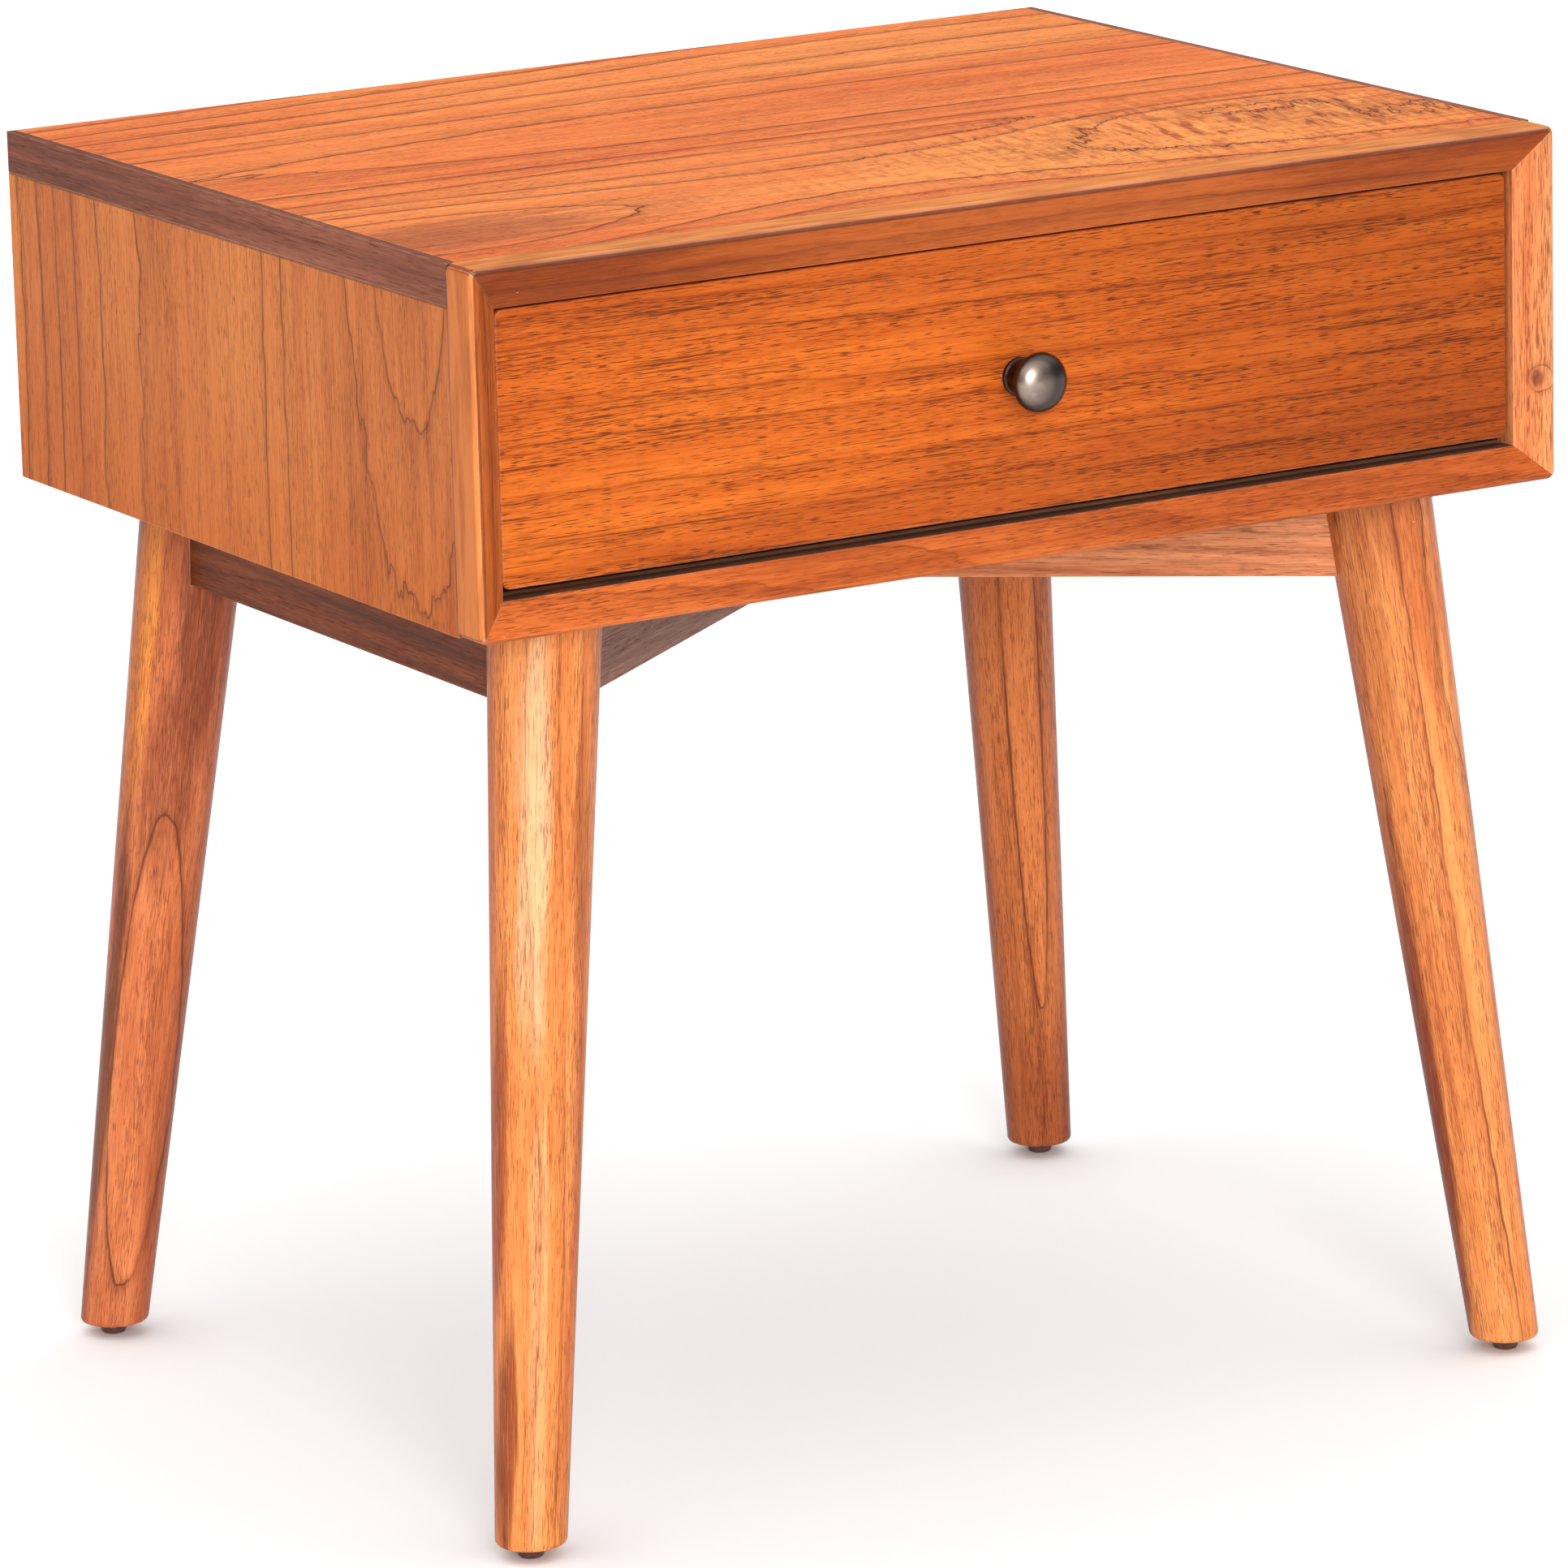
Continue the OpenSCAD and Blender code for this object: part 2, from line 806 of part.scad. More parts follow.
slide_outer(-1);  // slide_outer_left
slide_outer(1);  // slide_outer_right
slide_middle(-1);  // slide_middle_left
slide_middle(1);  // slide_middle_right
slide_inner(-1);  // slide_inner_left
slide_inner(1);  // slide_inner_right
color("gray") slide_case_screw_set();  // slide_case_screws
color("gray") slide_drawer_screw_set();  // slide_drawer_screws
drawer_front();
drawer_cross_board(box_y);  // drawer_box_front
drawer_side(-1);  // drawer_side_left
drawer_side(1);  // drawer_side_right
drawer_cross_board(box_y + box_d - box_t);  // drawer_back
drawer_bottom();
color("wheat") box_dowel_set();  // drawer_box_dowels
color("gray") drawer_front_screw_set();  // drawer_front_screws
knob();
color("gray") knob_screw_body();  // knob_screw
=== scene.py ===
"""Looks of the side table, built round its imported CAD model. Lengths are in metres."""

import json
import math

import bmesh
import bpy
from mathutils import Matrix, Vector


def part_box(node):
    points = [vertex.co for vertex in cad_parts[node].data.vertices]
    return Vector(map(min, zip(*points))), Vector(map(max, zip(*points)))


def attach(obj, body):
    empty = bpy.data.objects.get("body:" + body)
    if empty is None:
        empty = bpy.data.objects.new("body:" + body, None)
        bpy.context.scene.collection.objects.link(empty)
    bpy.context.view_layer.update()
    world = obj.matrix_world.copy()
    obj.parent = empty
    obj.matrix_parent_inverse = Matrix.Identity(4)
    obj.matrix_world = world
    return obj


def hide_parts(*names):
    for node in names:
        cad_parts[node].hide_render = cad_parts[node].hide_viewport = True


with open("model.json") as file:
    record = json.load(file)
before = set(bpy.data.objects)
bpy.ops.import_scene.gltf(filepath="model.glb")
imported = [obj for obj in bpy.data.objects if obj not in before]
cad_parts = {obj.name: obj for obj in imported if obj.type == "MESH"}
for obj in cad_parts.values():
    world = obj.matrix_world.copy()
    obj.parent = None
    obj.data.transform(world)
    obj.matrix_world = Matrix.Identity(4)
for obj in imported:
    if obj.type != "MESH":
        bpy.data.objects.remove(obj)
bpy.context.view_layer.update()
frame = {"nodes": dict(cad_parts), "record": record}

MM = 0.001
X, Y, Z = Vector((1, 0, 0)), Vector((0, 1, 0)), Vector((0, 0, 1))
BODY_OF = {n: b for b, nodes in frame["record"]["behaviour"]["bodies"].items() for n in nodes}


def middle(node):
    """The middle of a CAD node's box."""
    low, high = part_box(node)
    return (low + high) / 2


def half_size(node):
    """Half the size of a CAD node along x, y and z, in millimetres."""
    low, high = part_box(node)
    return (high - low) / 2 / MM


def srgb(red, green, blue):
    """A linear RGBA colour from 0 to 255 sRGB values."""
    return tuple((v / 255 / 12.92) if v < 10.3 else ((v / 255 + 0.055) / 1.055) ** 2.4
                 for v in (red, green, blue)) + (1.0,)


# ---- Shader helper ----

# Cosines of the turn between the rounded and the flat normal, where an arris starts and is full
ARRIS_FROM, ARRIS_FULL = 0.995, 0.85


class Shader:
    """A node material under construction. A value is a number, a vector or a node's output."""

    def __init__(self, name):
        self.material = bpy.data.materials.new(name)
        self.material.use_nodes = True
        self.tree = self.material.node_tree
        self.tree.nodes.clear()

    def node(self, kind, settings=None, **values):
        made = self.tree.nodes.new("ShaderNode" + kind)
        for key, value in (settings or {}).items():
            setattr(made, key, value)
        for key, value in values.items():
            self.feed(made.inputs[key.replace("_", " ")], value)
        return made

    def feed(self, socket, value):
        if isinstance(value, bpy.types.NodeSocket):
            self.tree.links.new(value, socket)
        else:
            socket.default_value = value

    def math(self, operation, *values):
        made = self.tree.nodes.new("ShaderNodeMath")
        made.operation = operation
        for socket, value in zip(made.inputs, values):
            self.feed(socket, value)
        return made.outputs[0]

    def vector(self, operation, *values, out="Vector"):
        made = self.tree.nodes.new("ShaderNodeVectorMath")
        made.operation = operation
        for socket, value in zip(made.inputs, values):
            self.feed(socket, value)
        return made.outputs[out]

    def add(self, *values):
        total = values[0]
        for value in values[1:]:
            total = self.math("ADD", total, value)
        return total

    def times(self, *values):
        total = values[0]
        for value in values[1:]:
            total = self.math("MULTIPLY", total, value)
        return total

    def scaled(self, vector, factor):
        """A vector times a plain number."""
        made = self.tree.nodes.new("ShaderNodeVectorMath")
        made.operation = "SCALE"
        self.feed(made.inputs[0], vector)
        made.inputs["Scale"].default_value = factor
        return made.outputs[0]

    def noise(self, vector, detail, roughness=0.5):
        made = self.node("TexNoise", Vector=vector, Scale=1.0, Detail=detail,
                         Roughness=roughness, Distortion=0.0)
        return made.outputs["Fac"]

    def step(self, value, low, high, to_low=0.0, to_high=1.0):
        """A smooth step from to_low at low to to_high at high."""
        made = self.tree.nodes.new("ShaderNodeMapRange")
        made.interpolation_type = "SMOOTHSTEP"
        for socket, v in zip(made.inputs, (value, low, high, to_low, to_high)):
            self.feed(socket, v)
        return made.outputs[0]

    def mix(self, share, a, b, blend="MIX"):
        """Colour a with a share of colour b; inputs 6 and 7 and output 2 are the node's colours."""
        made = self.tree.nodes.new("ShaderNodeMix")
        made.data_type = "RGBA"
        made.blend_type = blend
        self.feed(made.inputs[0], share)
        self.feed(made.inputs[6], a)
        self.feed(made.inputs[7], b)
        return made.outputs[2]

    def ramp(self, value, stops):
        """A colour between stops, which are (value, colour) pairs."""
        made = self.tree.nodes.new("ShaderNodeValToRGB")
        self.feed(made.inputs[0], value)
        points = made.color_ramp.elements
        while len(points) < len(stops):
            points.new(0.5)
        for point, (at, colour) in zip(points, stops):
            point.position = at
            point.color = colour
        return made.outputs[0]

    def edge(self, radius):
        """Near 1 on the arrises, within radius of a sharp edge."""
        rounded = self.node("Bevel", {"samples": 4}, Radius=radius).outputs[0]
        flat = self.node("NewGeometry").outputs["Normal"]
        return self.step(self.vector("DOT_PRODUCT", rounded, flat, out="Value"), ARRIS_FROM,
                         ARRIS_FULL)

    def bump(self, height, distance, strength):
        return self.node("Bump", Height=height, Distance=distance, Strength=strength).outputs[0]

    def steepness(self, height):
        """The slope over the surface of a height in millimetres."""
        leaning = self.bump(height, MM, 1.0)
        flat = self.node("NewGeometry").outputs["Normal"]
        lean = self.vector("DOT_PRODUCT", leaning, flat, out="Value")
        square = self.math("DIVIDE", 1.0, self.math("MAXIMUM", self.times(lean, lean), 1e-4))
        return self.math("SQRT", self.math("MAXIMUM", self.add(square, -1.0), 1e-4))

    def finish(self, **values):
        surface = self.node("BsdfPrincipled", **values)
        out = self.tree.nodes.new("ShaderNodeOutputMaterial")
        self.tree.links.new(surface.outputs[0], out.inputs[0])
        return self.material


# ---- Wood ----

DARK_LINE = srgb(84, 36, 24)
PORE = srgb(96, 40, 16)
PALE_DENT_AND_SHEEN = srgb(246, 206, 170)
WOOD_IOR = 1.18
SEED_STEP = (913.0, 377.0, 151.0)   # how far one unit of seed moves the noise, in mm
BLEND = 14.0        # height over which one ridge passes into the next
RING_DIP = 0.55     # rise of the rings' height for each mm through the board
FINE_RINGS = 4.3    # fine rings in each growth ring
LEG_TAPER = 0.02    # growth of a leg's radius for each mm up it
KNOT_RISE, KNOT_STRETCH = 16.0, 1.6   # height of a knot's hill, and its length for its width
FIGURE_WAVE = 15.0  # how far wavy grain lifts the rings
STROKE_LENGTH, STROKE_WIDTH, STROKE_CLUSTER = 24.0, 4.8, 32.0    # wavy grain's, in mm
SEAM_CORE, SEAM_EDGE, SEAM_SHARE = 0.25, 0.75, 0.75   # a joint line's half widths, and its ink
DENT_SCALE = 0.40   # of the noise whose few peaks are dents, for each mm
ARRIS_WIDTH, PORE_DEPTH = 1.1 * MM, 0.12 * MM
# (length, width) of the noise that bends, bunches and roughens the rings
WOBBLE_GRAIN, BUNCH_GRAIN, RIPPLE_GRAIN = (300.0, 70.0), (900.0, 30.0), (24.0, 7.0)


def ring_height(s, l, a, d, stretched, rise, ridges, hills, slope, wobble, bunch, ripple):
    """A height over the board, in millimetres, whose contour lines are the growth rings.

    It rises across the board, or falls from ridges: (a, roundness, height). Hills in it make
    cathedral arches: (l, a, length, width, height). Slope is its rise over 10 mm of length. Noise
    bends, bunches and roughens the rings by so many millimetres.
    """
    terms = [] if rise is None else [s.times(a, rise)]
    for ridge_a, roundness, tall in ridges:
        across = s.math("POWER", s.add(a, -ridge_a), 2.0)
        fall = s.math("SQRT", s.add(across, roundness ** 2))
        terms.append(s.add(s.times(fall, -1.0), tall))
    height = terms[0]
    if len(terms) > 1:
        total = s.add(*(s.math("EXPONENT", s.times(t, 1 / BLEND)) for t in terms))
        height = s.times(s.math("LOGARITHM", total, math.e), BLEND)
    for hill_l, hill_a, length, width, tall in hills:
        height = s.add(height, s.times(mound(s, l, a, hill_l, hill_a, length, width), tall))
    height = s.add(height, s.times(d, RING_DIP), s.times(l, slope * 0.1))
    for size, grain in ((wobble, WOBBLE_GRAIN), (bunch, BUNCH_GRAIN), (ripple, RIPPLE_GRAIN)):
        height = s.add(height, s.times(s.add(stretched(*grain, detail=1.0), -0.5), size * 2))
    return height


def mound(s, l, a, at_l, at_a, length, width):
    """1 at a place on the board, falling away smoothly round it."""
    away = s.add(s.math("POWER", s.times(s.add(l, -at_l), 1 / length), 2.0),
                 s.math("POWER", s.times(s.add(a, -at_a), 1 / width), 2.0))
    return s.math("EXPONENT", s.times(away, -1.0))


def wood(name, along, across, origin, tones, spacing, lines, seed, line=DARK_LINE,
         line_width=1.0, broken=0.75, late=0.2, rise=1.0, ridges=(), hills=(), slope=0.15,
         wobble=12.0, bunch=8.0, ripple=1.5, level=0.0, dashes=0.55, dash=(9.0, 0.6),
         dash_level=0.60, hair=0.3, streak=(240.0, 8.0), streaky=0.5, knot=None, figure=None,
         flank_shade=None, patches=(), seams=(), shade=None, faces=(), gloss=0.36, coat=0.04,
         wear_and_sheen=0.35, dents=0.35, grit=0.3):
    """Lacquered wood, its grain along one direction and its growth rings crossing another.

    Inside, l, a and d are millimetres from origin, along the grain, across it and square to both.
    tones      dark, middle and pale wood; streak is their (length, width) and streaky their share
    spacing    height between rings; lines, line_width and broken are their ink, width and gaps,
               and late is the ink of their soft dark side
    rise ...   rise, ridges, hills, slope, wobble, bunch and ripple: see ring_height; level is
               added to all of it
    dashes     ink of the pores; dash is their (length, width), and fewer show as dash_level grows
    hair       ink of fine hairs; grit is the ink of the fibre
    knot       (l, a, radius)
    figure     wavy grain, its pale and dark strokes a painted sheen: (l, a, length, width, slant, pale colour, dark colour)
    flank_shade (colour, from, to): painted shade, darker with the distance beside a leg's axis
    shade      (colour, from, to): darker along the grain
    patches    (colour, share, l, a, length, width) each
    seams      (axis, place) each, where axis 0, 1 or 2 is l, a or d
    faces      (direction, share, colour) each: painted light or shade on the faces that look that way
    """
    s = Shader(name)
    deep = along.cross(across)
    turn = Matrix((along, across, deep)).to_euler("XYZ")
    moved = -(Matrix((along, across, deep)) @ origin) / MM
    place = s.node("Mapping", Vector=s.node("TexCoord").outputs["Object"], Location=moved,
                   Rotation=turn, Scale=(1 / MM,) * 3).outputs[0]
    axes = s.node("SeparateXYZ", Vector=place)
    l, a, d = axes.outputs[0], axes.outputs[1], axes.outputs[2]
    sown = s.vector("ADD", place, tuple(seed * step for step in SEED_STEP))

    def stretched(length, width, **more):
        return s.noise(s.vector("MULTIPLY", sown, (1 / length, 1 / width, 1 / width)), **more)

    height = ring_height(s, l, a, d, stretched, rise, ridges, hills, slope, wobble, bunch, ripple)
    height = s.add(height, level)
    if figure:
        strokes, figured = ribbon(s, sown, l, a, *figure[:5])
        height = s.add(height, s.times(s.add(strokes, -0.5), figured, FIGURE_WAVE))
    if knot:
        knot_l, knot_a, knot_r = knot
        heart = mound(s, l, a, knot_l, knot_a, knot_r * KNOT_STRETCH, knot_r)
        height = s.add(height, s.times(heart, KNOT_RISE))
    ring = s.math("FRACT", s.times(height, 1 / spacing))
    fine_ring = s.math("FRACT", s.times(height, FINE_RINGS / spacing))
    fade = s.step(stretched(110.0, 14.0, detail=2.0), 0.34, 0.56)

    # The lines keep their width however the rings spread, and only their ink comes and goes
    off = s.math("PINGPONG", height, spacing / 2)
    off = s.math("DIVIDE", off, s.steepness(height))
    ink = s.step(stretched(60.0, 12.0, detail=3.0, roughness=0.7), 0.3, 0.7, 0.55, 1.35)
    core = s.times(s.step(s.math("DIVIDE", off, ink), line_width, 0.25 * line_width),
                   s.step(fade, 0.0, 1.0, 1.0 - broken, 1.0), lines)
    halo = s.times(s.step(off, 4.5 * line_width, 0.0), 0.28 * lines)
    soft = s.times(s.step(ring, 0.35, 1.0), late)
    thin = s.times(s.step(fine_ring, 0.72, 1.0), late * 0.6, fade)

    # Colour: streaks, drift and fibre under the rings and the pores
    streaks = stretched(*streak, detail=4.0, roughness=0.65)
    drift = stretched(420.0, 90.0, detail=2.0)
    tone = s.add(s.times(streaks, streaky), s.times(drift, 1.1 - streaky), -0.05)
    colour = s.ramp(tone, [(0.38, tones[0]), (0.5, tones[1]), (0.62, tones[2])])
    for patch_colour, share, *where in patches:
        ragged = s.add(mound(s, l, a, *where),
                       s.times(s.add(stretched(50.0, 5.0, detail=3.0), -0.5), 0.9))
        colour = s.mix(s.step(ragged, 0.30, 0.75, 0.0, share), colour, patch_colour)
    fibre = stretched(26.0, 0.7, detail=2.0, roughness=0.7)
    mottle = stretched(12.0, 4.0, detail=3.0, roughness=0.65)
    colour = s.mix(s.step(fibre, 0.46, 0.68, 0.0, grit), colour, tones[0], "MULTIPLY")
    colour = s.mix(s.step(fibre, 0.50, 0.30, 0.0, grit), colour, tones[2])
    colour = s.mix(s.step(mottle, 0.50, 0.70, 0.0, 0.2), colour, line)
    colour = s.mix(s.math("MINIMUM", s.add(soft, thin, halo), 1.0), colour, line)
    # The wavy grain's pale and dark strokes are a painted sheen
    if figure:
        light, dark = figure[5:]
        colour = s.mix(s.times(s.step(strokes, 0.46, 0.34), figured, 0.55), colour, light)
        colour = s.mix(s.times(s.step(strokes, 0.52, 0.64), figured, 0.85), colour, dark)
    colour = s.mix(core, colour, line)
    spots = stretched(*dash, detail=1.0, roughness=0.4)
    clusters = stretched(160.0, 9.0, detail=1.0)
    crowd = s.add(s.times(ring, 0.05), s.times(s.add(clusters, -0.5), 0.28))
    pores = s.step(s.add(spots, crowd), dash_level + 0.03, dash_level + 0.10)
    hairs = s.step(s.add(stretched(48.0, 0.75, detail=2.0, roughness=0.55), s.times(crowd, 0.7)),
                   0.60, 0.70)
    colour = s.mix(s.times(hairs, hair), colour, PORE)
    colour = s.mix(s.times(pores, dashes), colour, PORE)
    if knot:
        blotch = s.add(heart, s.times(s.add(stretched(9.0, 3.0, detail=3.0), -0.5), 1.1))
        colour = s.mix(s.step(blotch, 0.30, 0.85, 0.0, 0.75), colour, line)
    # Painted light and shade: faces that look a given way take a lighter or darker colour
    for side, share, painted_light_colour in faces:
        normal = s.node("NewGeometry").outputs["Normal"]
        turned = s.vector("DOT_PRODUCT", normal, Vector(side).normalized(), out="Value")
        patchy = s.step(stretched(40.0, 6.0, detail=2.0), 0.35, 0.65, 0.5 * share, share)
        colour = s.mix(s.times(s.step(turned, 0.86, 0.97), patchy), colour, painted_light_colour)
    if shade:
        shade_colour, shade_from, shade_to = shade
        colour = s.mix(s.step(l, shade_from, shade_to), colour, shade_colour, "MULTIPLY")
    # Painted shade: a leg darkens with the distance to either side of its axis
    if flank_shade:
        flank_shade_colour, flank_from, flank_to = flank_shade
        beside = s.add(s.math("ABSOLUTE", a), s.times(l, -LEG_TAPER))
        beside = s.add(beside, s.times(s.add(stretched(120.0, 9.0, detail=2.0), -0.5), 9.0))
        colour = s.mix(s.step(beside, flank_from, flank_to), colour, flank_shade_colour, "MULTIPLY")

    # Dark joint lines, small pale dents, and arrises paled partly by rubbing and partly as a
    # painted highlight
    for axis, at in seams:
        near = s.math("ABSOLUTE", s.add(axes.outputs[axis], -at))
        colour = s.mix(s.step(near, SEAM_EDGE, SEAM_CORE, 0.0, SEAM_SHARE), colour, line)
    dent = s.step(s.noise(s.scaled(sown, DENT_SCALE), detail=0.0), 0.912, 0.935, 0.0, dents)
    colour = s.mix(dent, colour, PALE_DENT_AND_SHEEN)
    # The pale arrises stand partly for rubbed lacquer, partly for a painted highlight
    edge = s.edge(ARRIS_WIDTH)
    worn_sheen = s.times(edge, s.step(stretched(14.0, 4.0, detail=2.0), 0.3, 0.6, 0.3, 1.0), wear_and_sheen)
    colour = s.mix(worn_sheen, colour, PALE_DENT_AND_SHEEN)

    rough = s.add(gloss, s.times(fibre, 0.12), s.times(pores, 0.12), s.times(drift, 0.08))
    rough = s.add(rough, s.times(edge, 0.08))
    relief = s.add(s.times(pores, -1.0), s.times(fibre, -0.35))
    return s.finish(Base_Color=colour, Roughness=rough, Normal=s.bump(relief, PORE_DEPTH, 0.55),
                    IOR=WOOD_IOR, Coat_Weight=coat, Coat_Roughness=0.16, Coat_IOR=1.4)


def ribbon(s, sown, l, a, at_l, at_a, length, width, slant):
    """Short slanting strokes of wavy grain, and how strongly they show over the board."""
    turned = s.node("Mapping", Vector=sown, Rotation=(0, 0, slant)).outputs[0]
    stretch = (1 / STROKE_LENGTH, 1 / STROKE_WIDTH, 1 / STROKE_LENGTH)
    strokes = s.noise(s.vector("MULTIPLY", turned, stretch), detail=2.0, roughness=0.6)
    clusters = s.noise(s.scaled(sown, 1 / STROKE_CLUSTER), detail=1.0)
    uneven = s.step(clusters, 0.30, 0.60, 0.4, 1.0)
    return strokes, s.times(mound(s, l, a, at_l, at_a, length, width), uneven)


# ---- Other materials ----

METAL_MARK = 1.5    # size of the marks on metal, in mm


def metal(name, colour, roughness, dull, shine=0.35, rim_shade=None):
    """Metal with fine marks, a little cloudiness and brighter edges.

    Painted shade: rim_shade is a direction and a colour; the metal darkens where it turns from it.
    """
    s = Shader(name)
    place = s.scaled(s.node("TexCoord").outputs["Object"], 1 / MM)
    cloud = s.noise(s.vector("MULTIPLY", place, (0.12,) * 3), detail=3.0)
    marks = s.noise(s.vector("MULTIPLY", place, (1 / METAL_MARK,) * 3), detail=3.0, roughness=0.7)
    tint = s.mix(s.step(cloud, 0.35, 0.65), colour, dull)
    if rim_shade:
        lit_facing, dark = rim_shade
        normal = s.node("NewGeometry").outputs["Normal"]
        turned = s.vector("DOT_PRODUCT", normal, lit_facing.normalized(), out="Value")
        tint = s.mix(s.step(turned, 1.0, 0.72), tint, dark)
    tint = s.mix(s.times(s.edge(0.5 * MM), shine), tint, srgb(235, 225, 215))
    rough = s.add(roughness, s.times(cloud, 0.10), s.times(marks, 0.06))
    return s.finish(Base_Color=tint, Metallic=1.0, Roughness=rough,
                    Normal=s.bump(marks, 0.02 * MM, 0.3))


def plastic(name, colour, light):
    """Moulded plastic with a slight grain and scuffed edges."""
    s = Shader(name)
    place = s.scaled(s.node("TexCoord").outputs["Object"], 1 / MM)
    grain = s.noise(s.vector("MULTIPLY", place, (1.6,) * 3), detail=3.0, roughness=0.7)
    scuffs = s.noise(s.vector("MULTIPLY", place, (0.35, 0.35, 1.2)), detail=3.0)
    tint = s.mix(s.step(scuffs, 0.45, 0.7, 0.0, 0.5), colour, light)
    tint = s.mix(s.times(s.edge(0.6 * MM), 0.5), tint, light)
    return s.finish(Base_Color=tint, Roughness=s.add(0.42, s.times(grain, 0.2)),
                    Normal=s.bump(grain, 0.05 * MM, 0.4), IOR=1.48)


# ---- Mesh helpers ----

WELD, FLAT = 0.003 * MM, math.radians(0.4)      # what counts as one point, and as one plane
SHARP, EASE_SEGMENTS = math.radians(35), 2
BORE_EDGE, SHORT_EDGE = 1.6 * MM, 0.2 * MM      # edges up to this long stay sharp


def add_piece(name, mesh_data, material, nodes):
    """A visible piece that stands for CAD nodes, riding on their body."""
    mesh = bpy.data.meshes.new(name)
    mesh_data.to_mesh(mesh)
    mesh_data.free()
    piece = bpy.data.objects.new(name, mesh)
    bpy.context.scene.collection.objects.link(piece)
    mesh.materials.append(material)
    mesh.shade_smooth()
    piece.modifiers.new("normals", "WEIGHTED_NORMAL").keep_sharp = True
    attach(piece, BODY_OF[nodes[0]])
    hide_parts(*nodes)
    return piece


def read_node(node):
    """A CAD node's mesh, its triangles joined into whole faces."""
    mesh = bmesh.new()
    mesh.from_mesh(frame["nodes"][node].data)
    bmesh.ops.remove_doubles(mesh, verts=mesh.verts, dist=WELD)
    bmesh.ops.dissolve_limit(mesh, angle_limit=FLAT, verts=mesh.verts, edges=mesh.edges)
    return mesh


def ease_edges(mesh, radius, shortest):
    """Rounds every sharp edge that is longer than shortest, which leaves out small bores."""
    sharp = [e for e in mesh.edges if len(e.link_faces) == 2
             and e.calc_face_angle() > SHARP and e.calc_length() > shortest]
    bmesh.ops.bevel(mesh, geom=sharp, offset=radius, offset_type="OFFSET", profile=0.5,
                    segments=EASE_SEGMENTS, affect="EDGES", clamp_overlap=False)


def soften(node, radius, material, shortest=BORE_EDGE):
    """The CAD node with its arrises eased, as sanding leaves them."""
    mesh = read_node(node)
    ease_edges(mesh, radius, shortest)
    return add_piece("soft_" + node, mesh, material, [node])


def loft(rings):
    """A solid through rings of points, all with the same count, closed at both ends."""
    mesh = bmesh.new()
    rows = [[mesh.verts.new(p) for p in ring] for ring in rings]
    count = len(rows[0])
    for low, high in zip(rows, rows[1:]):
        for i in range(count):
            mesh.faces.new((low[i], low[(i + 1) % count], high[(i + 1) % count], high[i]))
    mesh.faces.new(reversed(rows[0]))
    mesh.faces.new(rows[-1])
    bmesh.ops.recalc_face_normals(mesh, faces=mesh.faces)
    return mesh


def lathe(outline, centre, axis, count=96):
    """A turned form: outline gives (radius, distance along the axis) pairs, ends on the axis."""
    side = axis.orthogonal().normalized()
    other = axis.cross(side)
    mesh = bmesh.new()
    tips = []
    rows = []
    for radius, reach in outline:
        at = centre + axis * reach
        if radius < 1e-6:
            tips.append(mesh.verts.new(at))
            continue
        rows.append([mesh.verts.new(at + (side * math.cos(t) + other * math.sin(t)) * radius)
                     for t in (2 * math.pi * i / count for i in range(count))])
    for low, high in zip(rows, rows[1:]):
        for i in range(count):
            mesh.faces.new((low[i], low[(i + 1) % count], high[(i + 1) % count], high[i]))
    for tip, row in ((tips[0], rows[0]), (tips[-1], rows[-1])):
        for i in range(count):
            mesh.faces.new((tip, row[i], row[(i + 1) % count]))
    bmesh.ops.recalc_face_normals(mesh, faces=mesh.faces)
    return mesh


# ---- Wood of each board ----

top_mid = middle("top_panel")
front_mid = middle("drawer_front")
side_mid = middle("side_panel_left")
top_half = half_size("top_panel")
side_half = half_size("side_panel_left")

TOP_TONES = [srgb(216, 108, 50), srgb(232, 128, 62), srgb(240, 144, 74)]
SIDE_TONES = [srgb(186, 100, 46), srgb(199, 113, 54), srgb(208, 124, 62)]
DRAWER_TONES = [srgb(186, 84, 24), srgb(202, 98, 29), srgb(214, 110, 35)]
RAIL_TONES = [srgb(112, 52, 22), srgb(142, 70, 34), srgb(166, 88, 46)]
FRAME_TONES = [srgb(142, 62, 22), srgb(166, 80, 30), srgb(186, 96, 42)]
BOX_TONES = [srgb(196, 160, 112), srgb(212, 178, 130), srgb(224, 194, 150)]
STAINED_TONES = [srgb(88, 58, 42), srgb(106, 72, 52), srgb(122, 86, 62)]
PLY_TONES = [srgb(178, 120, 74), srgb(196, 138, 90), srgb(210, 156, 108)]
# Painted light: a lighter tone for top faces, and a painted highlight for rounded arrises
PAINTED_TOP_LIGHT = srgb(236, 150, 74)
ARRIS_HIGHLIGHT = srgb(250, 190, 150)

# Each ridge and hill of the top is one thing that shows on the board, in mm from its middle.
# Ridges are (a, roundness, height), hills (l, a, length, width, height); a ring runs at height 0
# and every 20 mm from it
TOP_RIDGES = (
    (35.0, 60.0, 73.0),     # the long tongue, its ring 42 mm to each side
    (-157.0, 80.0, 71.0),   # the front row of tongues, its crest 9 mm under a ring
)
TOP_HILLS = (
    (-300.0, 35.0, 180.0, 80.0, -14.0),   # the long tongue closes near the left end
    (0.0, -64.0, 600.0, 22.0, -14.0),     # rings crowd between the two ridges
    (200.0, 210.0, 360.0, 70.0, 42.0),    # and spread at the back right
    (-270.0, -157.0, 115.0, 80.0, 27.0),  # round tongue at the front left
    (200.0, -92.0, 100.0, 30.0, 38.0),    # shoulder of the front right tongue
    (300.0, -160.0, 200.0, 80.0, 30.0),   # the front right tongue
    (-30.0, -225.0, 130.0, 50.0, -25.0),  # arches against the front frame
)
